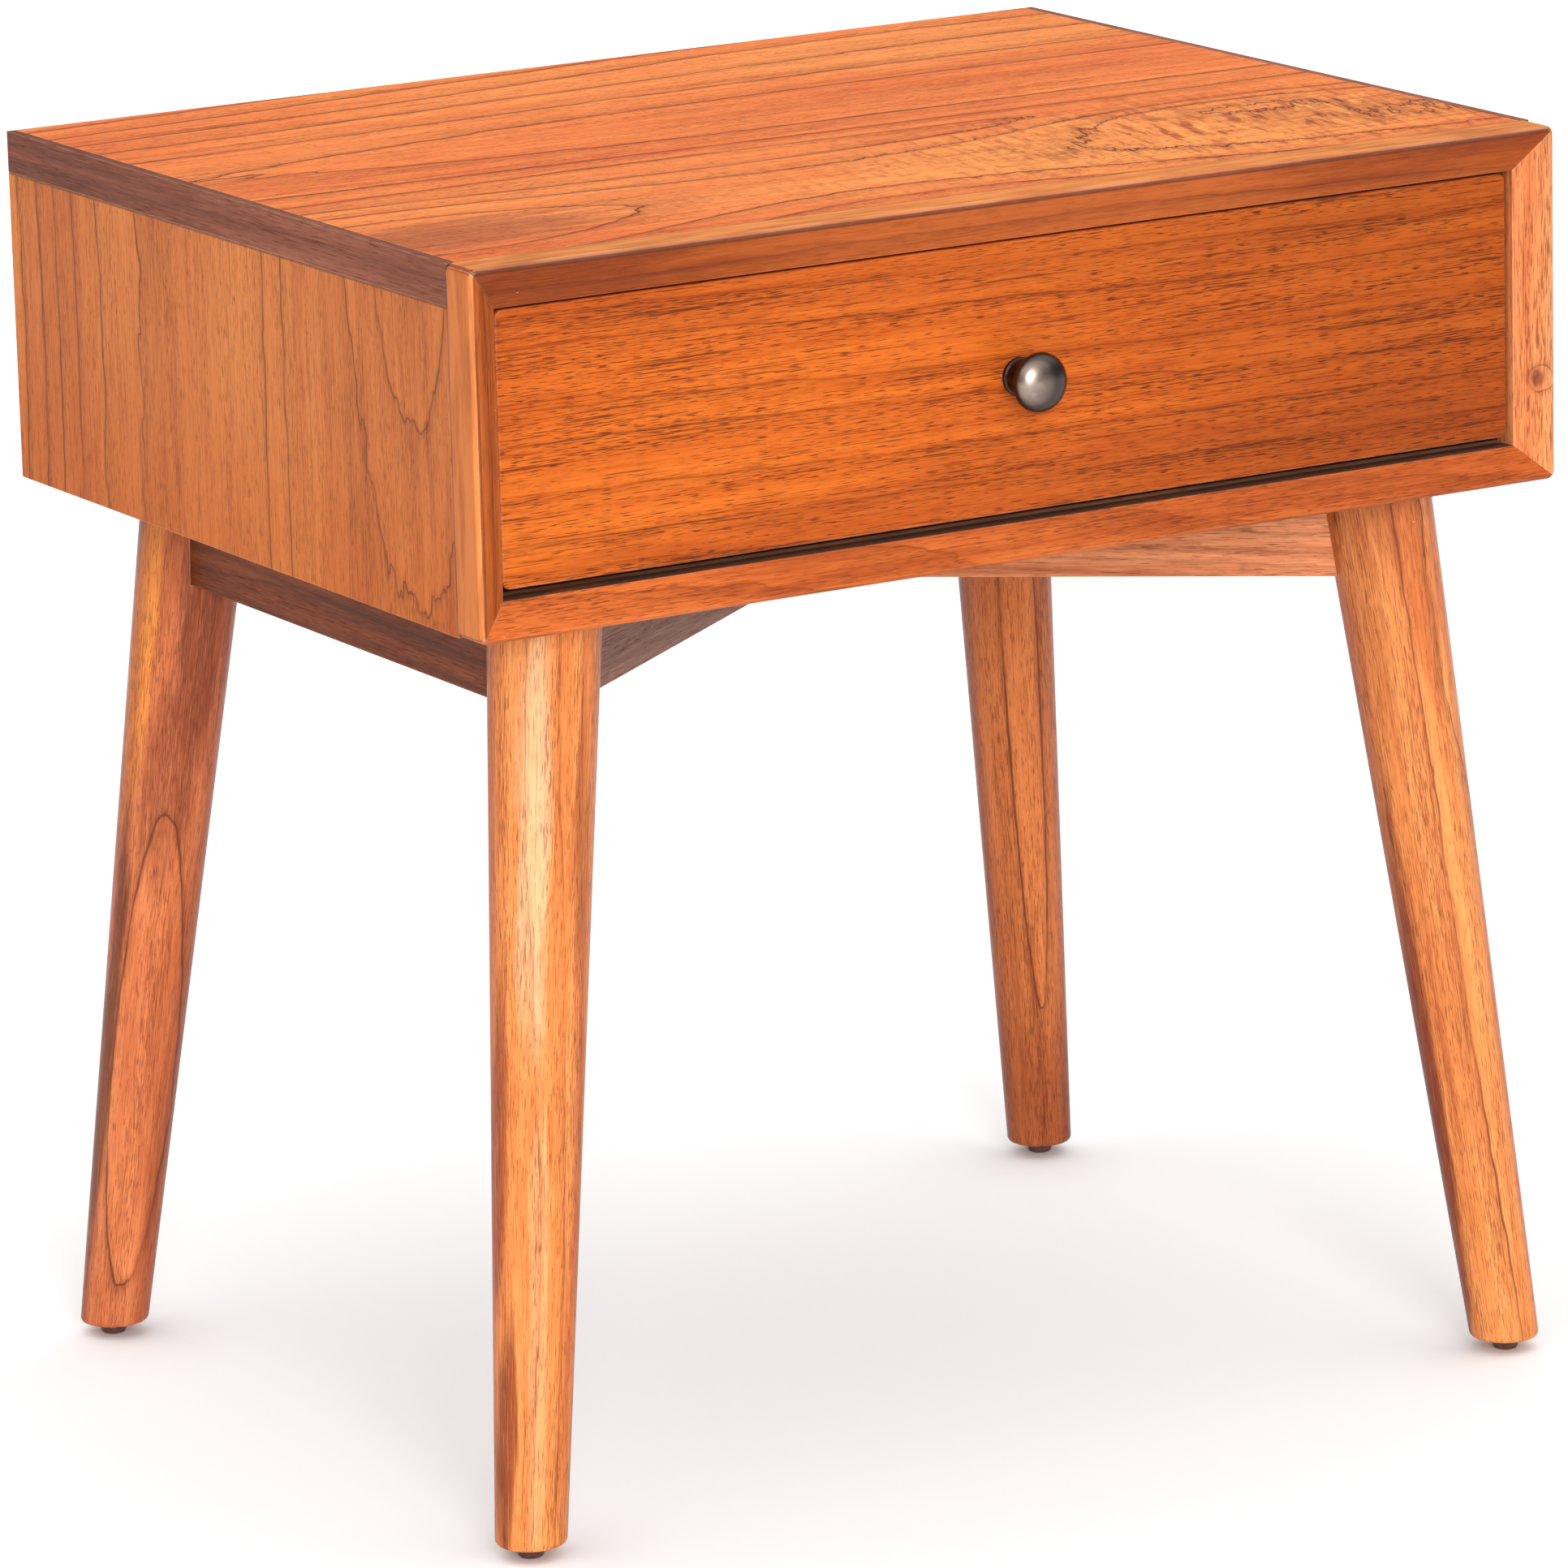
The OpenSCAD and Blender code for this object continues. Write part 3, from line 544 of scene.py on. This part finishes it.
# The side's hills, in the same form
SIDE_HILLS = (
    (140.0, -182.0, 170.0, 50.0, 40.0),   # arches that hang from the top edge near the front
    (0.0, -50.0, 400.0, 15.0, 14.0),      # a narrow upright band
    (0.0, 260.0, 500.0, 110.0, 100.0),    # straight lines that crowd towards the back
)
# How far inside a board's edge, or behind the frame's front, each dark line runs, in mm
TOP_JOINT, SIDE_JOINT, EAVES_JOINT, FRAME_ARRIS = 0.1, 0.3, 0.4, 0.05

top_veneer = wood(
    "top_veneer", X, Y, top_mid, TOP_TONES, line=srgb(100, 38, 18), spacing=20.0, lines=0.95,
    line_width=1.0, broken=0.35, rise=None, ridges=TOP_RIDGES, hills=TOP_HILLS,
    level=-RING_DIP * top_half.z, slope=0.0, wobble=1.5, bunch=2.5, ripple=1.3, dash_level=0.60,
    dashes=0.55, dash=(5.0, 0.7), late=0.16, hair=0.5, grit=0.5,
    seams=((1, TOP_JOINT - top_half.y),),
    patches=((srgb(158, 86, 50), 0.65, -262.0, -160.0, 105.0, 40.0),
             (srgb(246, 164, 88), 0.45, 190.0, 150.0, 170.0, 60.0),
             (srgb(246, 162, 84), 0.6, 130.0, -145.0, 230.0, 80.0)),
    figure=(175.0, -140.0, 200.0, 76.0, -1.4, srgb(252, 170, 92), srgb(152, 66, 30)), seed=1.0)
edge_wood = wood(
    "edge_wood", Y, Z, middle("top_edge_left"),
    [srgb(104, 54, 36), srgb(132, 72, 50), srgb(152, 90, 66)], line=srgb(70, 34, 24),
    spacing=14.0, lines=0.2, wobble=6.0, dashes=0.7, dash=(14.0, 0.6),
    # The arris that looks left and down carries a painted highlight
    seams=((0, SIDE_JOINT - top_half.y),), faces=(((-1, 0, -1), 0.7, ARRIS_HIGHLIGHT),), seed=2.0)
side_veneer = wood(
    "side_veneer", Z, Y, side_mid, SIDE_TONES, line=srgb(108, 52, 22), spacing=14.0, lines=0.8,
    line_width=0.85, broken=0.5, late=0.10, rise=0.0, hills=SIDE_HILLS, level=-14.0,
    slope=0.0, wobble=3.0, bunch=2.5, ripple=1.6, dash_level=0.60, dashes=0.45,
    dash=(6.0, 0.6), hair=0.35, streaky=0.4,
    seams=((1, SIDE_JOINT - side_half.y), (0, side_half.z - EAVES_JOINT)),
    shade=(srgb(248, 232, 196), 30.0, -75.0), seed=3.0)
drawer_veneer = wood(
    "drawer_veneer", X, Z, front_mid, DRAWER_TONES, line=srgb(112, 40, 8), spacing=21.0,
    lines=0.5, line_width=0.65, broken=1.0, late=0.10, wobble=6.0, bunch=16.0, dashes=0.85,
    dash=(9.0, 0.5), dash_level=0.585, hair=0.75, streak=(260.0, 6.0), streaky=0.55, slope=0.1,
    patches=((srgb(168, 76, 26), 0.65, 120.0, -62.0, 420.0, 34.0),
             (srgb(172, 80, 28), 0.5, 0.0, 52.0, 300.0, 16.0)),
    shade=(srgb(212, 206, 206), -60.0, 260.0), wear_and_sheen=0.75, dents=0.2, grit=0.25, seed=4.0)
frame_wood = wood(
    "frame_wood", X, Z, middle("frame_top_rail"), FRAME_TONES, spacing=17.0, lines=0.25,
    late=0.2, dashes=0.25, hair=0.15, dash_level=0.60, grit=0.2,
    seams=((2, half_size("frame_top_rail").y - FRAME_ARRIS),),
    patches=((srgb(126, 54, 22), 0.7, -270.0, 0.0, 120.0, 24.0),
             (srgb(196, 102, 46), 0.6, 10.0, 0.0, 150.0, 24.0)),
    # Painted light: the rail's top faces are lighter, and its rounded upper front arris carries a
    # painted highlight
    faces=(((0, 0, 1), 0.7, PAINTED_TOP_LIGHT), ((0, -1, 1), 0.25, ARRIS_HIGHLIGHT)), seed=5.0)
bottom_rail_wood = wood(
    "bottom_rail_wood", X, Z, middle("frame_bottom_rail"),
    [srgb(164, 74, 30), srgb(188, 92, 38), srgb(208, 114, 52)], line=srgb(110, 44, 16),
    patches=((srgb(218, 112, 48), 0.7, -270.0, 0.0, 150.0, 24.0),),
    spacing=9.0, lines=0.35, line_width=0.6, late=0.2, dashes=0.6, dash=(8.0, 0.5),
    # Painted shade: the rail's top face, in the gap under the drawer, is coloured dark
    dash_level=0.59, slope=0.5, faces=(((0, 0, 1), 1.6, srgb(84, 58, 46)),), seed=6.0)
left_stile_wood = wood(
    "left_stile_wood", Z, X, middle("frame_left_stile"),
    [srgb(150, 68, 24), srgb(174, 86, 34), srgb(198, 108, 50)], spacing=12.0, lines=0.35,
    late=0.2, dash_level=0.61, wear_and_sheen=0.6,
    # The outer side face is tinted golden, and the rounded arris beside it carries a painted
    # highlight
    faces=(((-1, 0, 0), 0.8, srgb(214, 124, 62)), ((-1, -1, 0), 0.8, srgb(236, 146, 84))),
    seed=7.0)
right_stile_wood = wood(
    "right_stile_wood", Z, X, middle("frame_right_stile"),
    [srgb(192, 100, 56), srgb(220, 132, 78), srgb(238, 160, 102)], line=srgb(118, 52, 34),
    spacing=12.0, lines=0.45, line_width=0.6, wobble=8.0, ripple=3.0, knot=(-36.0, 1.0, 4.0),
    dash_level=0.59, wear_and_sheen=0.6, seed=8.0)
rail_wood = wood(
    "rail_wood", Y, Z, middle("side_rail_left"), RAIL_TONES, line=srgb(70, 34, 22),
    spacing=14.0, lines=0.4, seed=9.0)
dowel_wood = wood("dowel_wood", X, Y, top_mid, BOX_TONES, spacing=5.0, lines=0.2, seed=10.0)
plywood = wood("plywood", X, Z, middle("back_panel"), PLY_TONES, spacing=16.0, lines=0.4,
               late=0.2, gloss=0.5, coat=0.03, seed=11.0)
drawer_ply = wood("drawer_ply", X, Y, middle("drawer_bottom"), PLY_TONES, spacing=18.0,
                  lines=0.4, late=0.2, gloss=0.5, coat=0.03, seed=12.0)
stained_ply = wood("stained_ply", X, Y, middle("bottom_panel"), STAINED_TONES,
                   line=srgb(60, 38, 26), spacing=18.0, lines=0.4, late=0.2, gloss=0.5,
                   coat=0.03, wear_and_sheen=0.0, dents=0.0, seed=16.0)
box_side_wood = wood("box_side_wood", Y, Z, middle("drawer_side_left"), BOX_TONES,
                     spacing=14.0, lines=0.35, late=0.2, gloss=0.48, coat=0.03, seed=13.0)
box_cross_wood = wood("box_cross_wood", X, Z, middle("drawer_back"), BOX_TONES,
                      spacing=14.0, lines=0.35, late=0.2, gloss=0.48, coat=0.03, seed=14.0)

# Painted shade darkens the knob's face towards its rim, away from the lit direction
knob_metal = metal("knob_metal", srgb(172, 152, 140), 0.24, srgb(146, 128, 118), shine=0.08,
                   rim_shade=(Vector((-0.50, -0.86, 0.10)), srgb(80, 72, 68)))
painted_shade_neck_metal = metal("painted_shade_neck_metal", srgb(70, 62, 58), 0.2, srgb(54, 47, 44), shine=0.1)
zinc_steel = metal("zinc_steel", srgb(176, 176, 172), 0.30, srgb(140, 140, 138))
glide_plastic = plastic("glide_plastic", srgb(86, 52, 44), srgb(128, 84, 70))

# ---- Case, frame and drawer boards ----

soften("top_panel", 0.35 * MM, top_veneer)
soften("top_edge_left", 0.35 * MM, edge_wood)
soften("top_edge_right", 0.35 * MM, edge_wood)
soften("side_panel_left", 0.45 * MM, side_veneer)
soften("side_panel_right", 0.45 * MM, side_veneer)
soften("bottom_panel", 0.4 * MM, stained_ply)
soften("back_panel", 0.3 * MM, plywood)
soften("frame_top_rail", 0.3 * MM, frame_wood, shortest=SHORT_EDGE)
soften("frame_bottom_rail", 0.3 * MM, bottom_rail_wood, shortest=SHORT_EDGE)
soften("frame_left_stile", 0.3 * MM, left_stile_wood, shortest=SHORT_EDGE)
soften("frame_right_stile", 0.3 * MM, right_stile_wood, shortest=SHORT_EDGE)
soften("side_rail_left", 0.8 * MM, rail_wood)
soften("side_rail_right", 0.8 * MM, rail_wood)
soften("drawer_front", 0.9 * MM, drawer_veneer, shortest=SHORT_EDGE)
soften("drawer_box_front", 0.6 * MM, box_cross_wood)
soften("drawer_back", 0.6 * MM, box_cross_wood)
soften("drawer_side_left", 0.6 * MM, box_side_wood)
soften("drawer_side_right", 0.6 * MM, box_side_wood)
soften("drawer_bottom", 0.3 * MM, drawer_ply)

# The stretcher boards cross each other, so each has its grain along its own length
STRETCHERS = (
    ("cross_stretcher_lower", 1, [srgb(106, 74, 62), srgb(134, 96, 82), srgb(156, 116, 100)]),
    ("cross_stretcher_upper", -1, [srgb(210, 126, 82), srgb(234, 152, 104), srgb(246, 172, 124)]),
)
for node, slope, tones in STRETCHERS:
    low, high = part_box(node)
    run = Vector((high.x - low.x, slope * (high.y - low.y), 0)).normalized()
    material = wood(node + "_wood", run, Z, middle(node), tones, line=srgb(110, 56, 38),
                    spacing=7.0, lines=0.2, wobble=6.0, dash=(9.0, 0.5), dash_level=0.59,
                    seed=15.0 + slope)
    soften(node, 0.8 * MM, material)

# ---- Legs ----

# The axis at the case, from the base's middle, and how much further out it is at the floor
LEG_TOP = Vector((227.3, 170.5, 0)) * MM
LEG_SPLAY = Vector((45.7, 40.5, 0)) * MM
LEG_TOP_R, LEG_FOOT_R = 26.5 * MM, 16.5 * MM
FOOT_EASE_UP, FOOT_EASE_IN, FOOT_EASE_STEPS = 2.4 * MM, 2.0 * MM, 6
LEG_STEPS, LEG_LEVELS, LEG_SHARP = 96, 24, math.radians(40)
CUT_GAP = 0.15 * MM
centre_y = middle("side_rail_left").y
case_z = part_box("side_panel_left")[0].z


def leg_axis(sx, sy):
    """The leg axis at the floor and at the case."""
    def at(share, z):
        out = LEG_TOP + LEG_SPLAY * share
        return Vector((sx * out.x, centre_y + sy * out.y, z))
    return at(1.0, 0.0), at(0.0, case_z)


def leg_ring(foot, top, z):
    """The cut of the leg's cone at a height."""
    axis = (top - foot).normalized()
    side = axis.cross(Y).normalized()
    other = axis.cross(side)
    ring = []
    for i in range(LEG_STEPS):
        t = 2 * math.pi * i / LEG_STEPS
        out = side * math.cos(t) + other * math.sin(t)
        low, high = foot + out * LEG_FOOT_R, top + out * LEG_TOP_R
        ring.append(low.lerp(high, (z - low.z) / (high.z - low.z)))
    return ring


def shell_of(node):
    """The convex outer shape of a CAD node, which leaves out its bores, CUT_GAP larger."""
    hull = read_node(node)
    made = bmesh.ops.convex_hull(hull, input=hull.verts)
    inside = [g for g in made["geom_interior"] + made["geom_unused"]
              if isinstance(g, bmesh.types.BMVert)]
    bmesh.ops.delete(hull, geom=list(set(inside)), context="VERTS")
    centre = sum((v.co for v in hull.verts), Vector()) / len(hull.verts)
    mesh = bmesh.new()
    points = [mesh.verts.new(v.co + (v.co - centre).normalized() * CUT_GAP)
              for v in hull.verts]
    hull.free()
    bmesh.ops.convex_hull(mesh, input=points)
    bmesh.ops.recalc_face_normals(mesh, faces=mesh.faces)
    shape = bpy.data.meshes.new("cutter")
    mesh.to_mesh(shape)
    mesh.free()
    cutter = bpy.data.objects.new("cutter", shape)
    bpy.context.scene.collection.objects.link(cutter)
    return cutter


def cut_from(mesh_data, cutters):
    """The mesh with the cutters taken out of it."""
    mesh = bpy.data.meshes.new("blank")
    mesh_data.to_mesh(mesh)
    mesh_data.free()
    blank = bpy.data.objects.new("blank", mesh)
    bpy.context.scene.collection.objects.link(blank)
    for cutter in cutters:
        cut = blank.modifiers.new("cut", "BOOLEAN")
        cut.object = cutter
        cut.operation = "DIFFERENCE"
        cut.solver = "EXACT"
    bpy.context.view_layer.update()
    done = bmesh.new()
    done.from_object(blank, bpy.context.evaluated_depsgraph_get())
    bpy.data.objects.remove(blank)
    return done


def leg(node, sx, sy, cross, material):
    """A turned leg with an eased foot, cut where the side rail and its stretcher meet it."""
    foot, top = leg_axis(sx, sy)
    z0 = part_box(node)[0].z
    rings = []
    for i in range(FOOT_EASE_STEPS + 1):
        t = math.radians(90.0 * i / FOOT_EASE_STEPS)
        inset = FOOT_EASE_IN * (1 - math.sin(t))
        ring = leg_ring(foot, top, z0 + FOOT_EASE_UP * (1 - math.cos(t)))
        centre = sum(ring, Vector()) / LEG_STEPS
        rings.append([p - (p - centre).normalized() * inset for p in ring])
    z1 = z0 + FOOT_EASE_UP
    for i in range(1, LEG_LEVELS + 1):
        rings.append(leg_ring(foot, top, z1 + (case_z - z1) * i / LEG_LEVELS))
    rail = "side_rail_left" if sx < 0 else "side_rail_right"
    cutters = [shell_of(rail), shell_of(cross)]
    mesh = cut_from(loft(rings), cutters)
    for cutter in cutters:
        bpy.data.objects.remove(cutter)
    piece = add_piece("turned_" + node, mesh, material, [node])
    piece.data.set_sharp_from_angle(angle=LEG_SHARP)
    return piece


# The grain of each leg runs up its axis, and a is the distance to the right of the axis, seen
# from the table's front left. The turned cone cuts the rings into long tongues
LEGS = (
    ("leg_front_left", -1, -1, "cross_stretcher_lower", dict(
        tones=[srgb(210, 116, 56), srgb(236, 144, 76), srgb(248, 166, 98)],
        line=srgb(120, 54, 22), spacing=15.0, lines=0.3, line_width=0.7, late=0.14,
        patches=((srgb(158, 70, 32), 0.75, -30.0, -17.0, 90.0, 4.5),
                 (srgb(146, 68, 34), 0.9, -165.0, -11.5, 65.0, 6.0),
                 (srgb(150, 72, 34), 0.5, 110.0, 18.0, 70.0, 5.0),
                 # These two pale patches down the leg's middle are a painted highlight
                 (srgb(255, 200, 152), 0.7, 120.0, -3.0, 120.0, 9.0),
                 (srgb(254, 186, 126), 0.5, -110.0, 2.0, 130.0, 6.0)),
        dashes=0.55, dash_level=0.59, dash=(8.0, 0.45), hair=0.4, slope=0.3, seed=21.0)),
    ("leg_front_right", 1, -1, "cross_stretcher_upper", dict(
        tones=[srgb(192, 100, 52), srgb(224, 134, 72), srgb(244, 162, 92)],
        line=srgb(110, 46, 22), spacing=22.0, lines=0.7, line_width=0.7, late=0.14,
        rise=0.5, ridges=((17.0, 6.0, 8.0),), hills=((160.0, 18.0, 150.0, 9.0, 14.0),),
        patches=((srgb(140, 58, 30), 0.85, -90.0, -17.0, 190.0, 4.5),
                 (srgb(160, 74, 34), 0.7, 230.0, -8.0, 60.0, 22.0),
                 (srgb(172, 88, 42), 0.4, 150.0, -12.0, 80.0, 10.0),
                 (srgb(196, 104, 52), 0.7, 165.0, 13.0, 80.0, 8.0)),
        dashes=0.55, dash_level=0.59, dash=(8.0, 0.45), hair=0.4, wobble=4.0, bunch=4.0,
        seed=22.0)),
    ("leg_rear_left", -1, 1, "cross_stretcher_upper", dict(
        tones=[srgb(170, 86, 48), srgb(202, 110, 64), srgb(228, 136, 84)],
        line=srgb(96, 42, 24), spacing=40.0, lines=0.75, line_width=0.9, late=0.15,
        rise=0.0, hills=((-65.0, 2.0, 150.0, 15.6, 40.0),), level=-8.0, ripple=1.0,
        patches=((srgb(236, 146, 66), 0.95, 150.0, -18.0, 120.0, 8.0),
                 (srgb(216, 128, 58), 0.8, -90.0, -18.0, 90.0, 5.0),
                 (srgb(128, 58, 36), 0.85, 150.0, 9.0, 110.0, 12.0),
                 (srgb(156, 78, 46), 0.7, 72.0, 0.0, 60.0, 14.0),
                 (srgb(104, 50, 28), 0.8, -60.0, -16.0, 150.0, 4.0)),
        dashes=0.5, dash_level=0.59, dash=(7.0, 0.5), hair=0.3,
        streak=(160.0, 10.0), wobble=4.0, bunch=2.0, seed=23.0)),
    ("leg_rear_right", 1, 1, "cross_stretcher_lower", dict(
        tones=[srgb(152, 76, 38), srgb(188, 100, 50), srgb(212, 122, 66)],
        line=srgb(88, 38, 18), spacing=60.0, lines=0.75, line_width=0.8, late=0.15,
        rise=0.0, hills=((120.0, 5.0, 256.0, 9.0, 57.0),), level=-10.0,
        shade=(srgb(212, 196, 188), -110.0, -180.0), dashes=0.55, dash_level=0.58,
        dash=(7.0, 0.5), hair=0.35, wobble=2.0, bunch=2.0, seed=24.0)),
)
LEG_ACROSS = Vector((0.86, -0.51, 0))
for node, sx, sy, cross, finish in LEGS:
    foot, top = leg_axis(sx, sy)
    upright = (top - foot).normalized()
    right = (LEG_ACROSS - upright * LEG_ACROSS.dot(upright)).normalized()
    # Every leg gets painted shade down both sides
    turned_wood = wood(node + "_wood", upright, right, (foot + top) / 2, coat=0.30,
                       flank_shade=(srgb(218, 196, 180), 12.0, 22.0), **finish)
    leg(node, sx, sy, cross, turned_wood)

# ---- Knob and glides ----

low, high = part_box("knob")
knob_face = Vector(((low.x + high.x) / 2, high.y, (low.z + high.z) / 2))
knob_r, knob_out = (high.x - low.x) / 2, high.y - low.y


def arc(from_r, from_h, to_r, to_h, steps, flip=False):
    """A quarter of an ellipse between two outline points in mm; flip curves it the other way."""
    points = []
    for i in range(steps + 1):
        t = math.radians(90.0 * i / steps)
        u, v = (math.sin(t), 1 - math.cos(t)) if flip else (1 - math.cos(t), math.sin(t))
        points.append(((from_r + (to_r - from_r) * u) * MM, (from_h + (to_h - from_h) * v) * MM))
    return points


# The knob's outline, from the drawer outwards: radii and distances in mm
rim_r = knob_r / MM
crown_at = knob_out / MM
KNOB_BASE_R, KNOB_BASE_EASE = 9.0, 0.5
KNOB_BEAD_FROM, KNOB_BEAD_TO, KNOB_BEAD_EASE = 1.5, 2.3, 0.8
KNOB_NECK_R, KNOB_NECK_FROM, KNOB_NECK_TO = 8.1, 2.35, 16.5
KNOB_WAIST_R, KNOB_WAIST_AT, KNOB_WAIST_LONG = 7.5, 9.0, 1.0
KNOB_RIM_AT, KNOB_FLARE_IN, KNOB_FLARE_BACK = 18.0, 0.9, 1.0
KNOB_LIP_IN, KNOB_LIP_FROM, KNOB_LIP_TO = 0.5, 0.8, 0.2
foot_r = KNOB_BASE_R - KNOB_BASE_EASE
knob_outline = [(0.0, 0.0), (foot_r * MM, 0.0)]
knob_outline += arc(foot_r, 0.0, KNOB_BASE_R, KNOB_BASE_EASE, 4, flip=True)
knob_outline += arc(KNOB_BASE_R, KNOB_BEAD_FROM, KNOB_BASE_R - KNOB_BEAD_EASE, KNOB_BEAD_TO, 5)
knob_outline += arc(KNOB_NECK_R, KNOB_NECK_FROM, KNOB_WAIST_R, KNOB_WAIST_AT, 14, flip=True)
knob_outline += arc(KNOB_WAIST_R, KNOB_WAIST_AT + KNOB_WAIST_LONG, rim_r - KNOB_FLARE_IN,
                    KNOB_RIM_AT - KNOB_FLARE_BACK, 16)
knob_outline += arc(rim_r - KNOB_LIP_IN, KNOB_RIM_AT - KNOB_LIP_FROM, rim_r,
                    KNOB_RIM_AT - KNOB_LIP_TO, 4, flip=True)
knob_outline += arc(rim_r, KNOB_RIM_AT, 0.0, crown_at, 24)[:-1] + [(0.0, knob_out)]
knob_mesh = lathe(knob_outline, knob_face, -Y)
# The neck behind the rim gets a darker metal, as painted shade under the rim
for face in knob_mesh.faces:
    if knob_face.y - face.calc_center_median().y < KNOB_NECK_TO * MM:
        face.material_index = 1
knob = add_piece("turned_knob", knob_mesh, knob_metal, ["knob"])
knob.data.materials.append(painted_shade_neck_metal)

# A glide's outline, from the recess of its nail's head, round the floor face, to its top, in mm
GLIDE_BORE_R, GLIDE_SINK = 3.5, 3.0
GLIDE_FLOOR_R, GLIDE_SHOULDER_R, GLIDE_TOP_R = 4.25, 6.05, 8.25
GLIDE_BORE_EASE, GLIDE_MOUTH_EASE, GLIDE_FLOOR_EASE = 0.3, 0.4, 1.9
GLIDE_LIP_IN, GLIDE_LIP_DOWN, GLIDE_STEPS = 0.3, 0.6, 64
for node in ("glide_front_left", "glide_front_right", "glide_rear_left", "glide_rear_right"):
    low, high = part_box(node)
    at = Vector(((low.x + high.x) / 2, (low.y + high.y) / 2, low.z))
    tall = (high.z - low.z) / MM
    outline = [(0.0, GLIDE_SINK * MM), ((GLIDE_BORE_R - GLIDE_BORE_EASE) * MM, GLIDE_SINK * MM),
               (GLIDE_BORE_R * MM, (GLIDE_SINK - GLIDE_BORE_EASE) * MM),
               (GLIDE_BORE_R * MM, GLIDE_MOUTH_EASE * MM),
               ((GLIDE_BORE_R + GLIDE_MOUTH_EASE) * MM, 0.0)]
    outline += arc(GLIDE_FLOOR_R, 0.0, GLIDE_SHOULDER_R, GLIDE_FLOOR_EASE, 8, flip=True)
    outline += [((GLIDE_TOP_R - GLIDE_LIP_IN) * MM, (tall - GLIDE_LIP_DOWN) * MM),
                (GLIDE_TOP_R * MM, tall * MM), (0.0, tall * MM)]
    add_piece("moulded_" + node, lathe(outline, at, Z, GLIDE_STEPS), glide_plastic, [node])

# ---- CAD nodes that stay as they are ----

KEPT = {
    dowel_wood: ["case_dowels", "frame_dowels", "rail_dowels", "drawer_box_dowels"],
    zinc_steel: ["back_panel_screws", "glide_nails", "base_screws", "slide_outer_left",
                 "slide_outer_right", "slide_middle_left", "slide_middle_right",
                 "slide_inner_left", "slide_inner_right", "slide_case_screws",
                 "slide_drawer_screws", "drawer_front_screws", "knob_screw"],
}
for material, nodes in KEPT.items():
    for node in nodes:
        kept = frame["nodes"][node]
        kept.data.materials.clear()
        kept.data.materials.append(material)

# ---- Floor, light and camera ----

FLOOR_HALF = 30.0
floor_mesh = bmesh.new()
bmesh.ops.create_grid(floor_mesh, x_segments=8, y_segments=8, size=FLOOR_HALF)
floor_data = bpy.data.meshes.new("floor")
floor_mesh.to_mesh(floor_data)
floor_mesh.free()
floor = bpy.data.objects.new("floor", floor_data)
bpy.context.scene.collection.objects.link(floor)
shader = Shader("floor_paint")
speckle = shader.noise(shader.node("TexCoord").outputs["Object"], detail=2.0)
pale = shader.mix(speckle, (0.90, 0.90, 0.90, 1.0), (0.92, 0.92, 0.92, 1.0))
floor_data.materials.append(shader.finish(Base_Color=pale, Roughness=0.9, IOR=1.2))

# The studio: a bright ceiling over dim walls. A direction's height is 0 when level and 1 upright
WALL_UP_TO, CEILING_FROM = 0.20, 0.75
WALL_LIGHT, CEILING_LIGHT = 0.14, 1.55
world = bpy.data.worlds.new("studio")
world.use_nodes = True
tree = world.node_tree
facing = tree.nodes.new("ShaderNodeTexCoord").outputs["Generated"]
split = tree.nodes.new("ShaderNodeSeparateXYZ")
tree.links.new(facing, split.inputs[0])
ceiling = tree.nodes.new("ShaderNodeMapRange")
ceiling.interpolation_type = "SMOOTHSTEP"
tree.links.new(split.outputs[2], ceiling.inputs[0])
limits = (WALL_UP_TO, CEILING_FROM, WALL_LIGHT, CEILING_LIGHT)
for socket, value in zip(ceiling.inputs[1:5], limits):
    socket.default_value = value
tree.links.new(ceiling.outputs[0], tree.nodes["Background"].inputs["Strength"])
tree.nodes["Background"].inputs["Color"].default_value = (1.0, 1.0, 1.0, 1.0)
bpy.context.scene.world = world

# A soft, low key from the front left
KEY_AZIMUTH, KEY_ELEVATION = math.radians(-20.4), math.radians(16.3)
KEY_STRENGTH, KEY_SPREAD = 2.1, math.radians(26)
key_from = Vector((math.sin(KEY_AZIMUTH) * math.cos(KEY_ELEVATION),
                   -math.cos(KEY_AZIMUTH) * math.cos(KEY_ELEVATION), math.sin(KEY_ELEVATION)))
key_light = bpy.data.lights.new("key", "SUN")
key_light.energy = KEY_STRENGTH
key_light.angle = KEY_SPREAD
key = bpy.data.objects.new("key", key_light)
key.rotation_euler = (-key_from).to_track_quat("-Z", "Y").to_euler()
bpy.context.scene.collection.objects.link(key)

# The camera's place and angles, which the photograph's own viewpoint gives
SENSOR, LENS = 36.0, 208.3
CAMERA_AT = Vector((-2.177, centre_y - 3.670, 1.3377))
YAW, PITCH, ROLL = math.radians(30.643), math.radians(13.904), math.radians(-1.477)
camera_data = bpy.data.cameras.new("camera")
camera_data.sensor_width = SENSOR
camera_data.lens = LENS
camera_data.clip_start, camera_data.clip_end = 0.1, 100.0
camera = bpy.data.objects.new("camera", camera_data)
bpy.context.scene.collection.objects.link(camera)
camera.matrix_world = (Matrix.Translation(CAMERA_AT) @ Matrix.Rotation(-YAW, 4, "Z")
                       @ Matrix.Rotation(math.pi / 2 - PITCH, 4, "X")
                       @ Matrix.Rotation(ROLL, 4, "Z"))
bpy.context.scene.camera = camera
bpy.context.scene.view_settings.view_transform = "Standard"
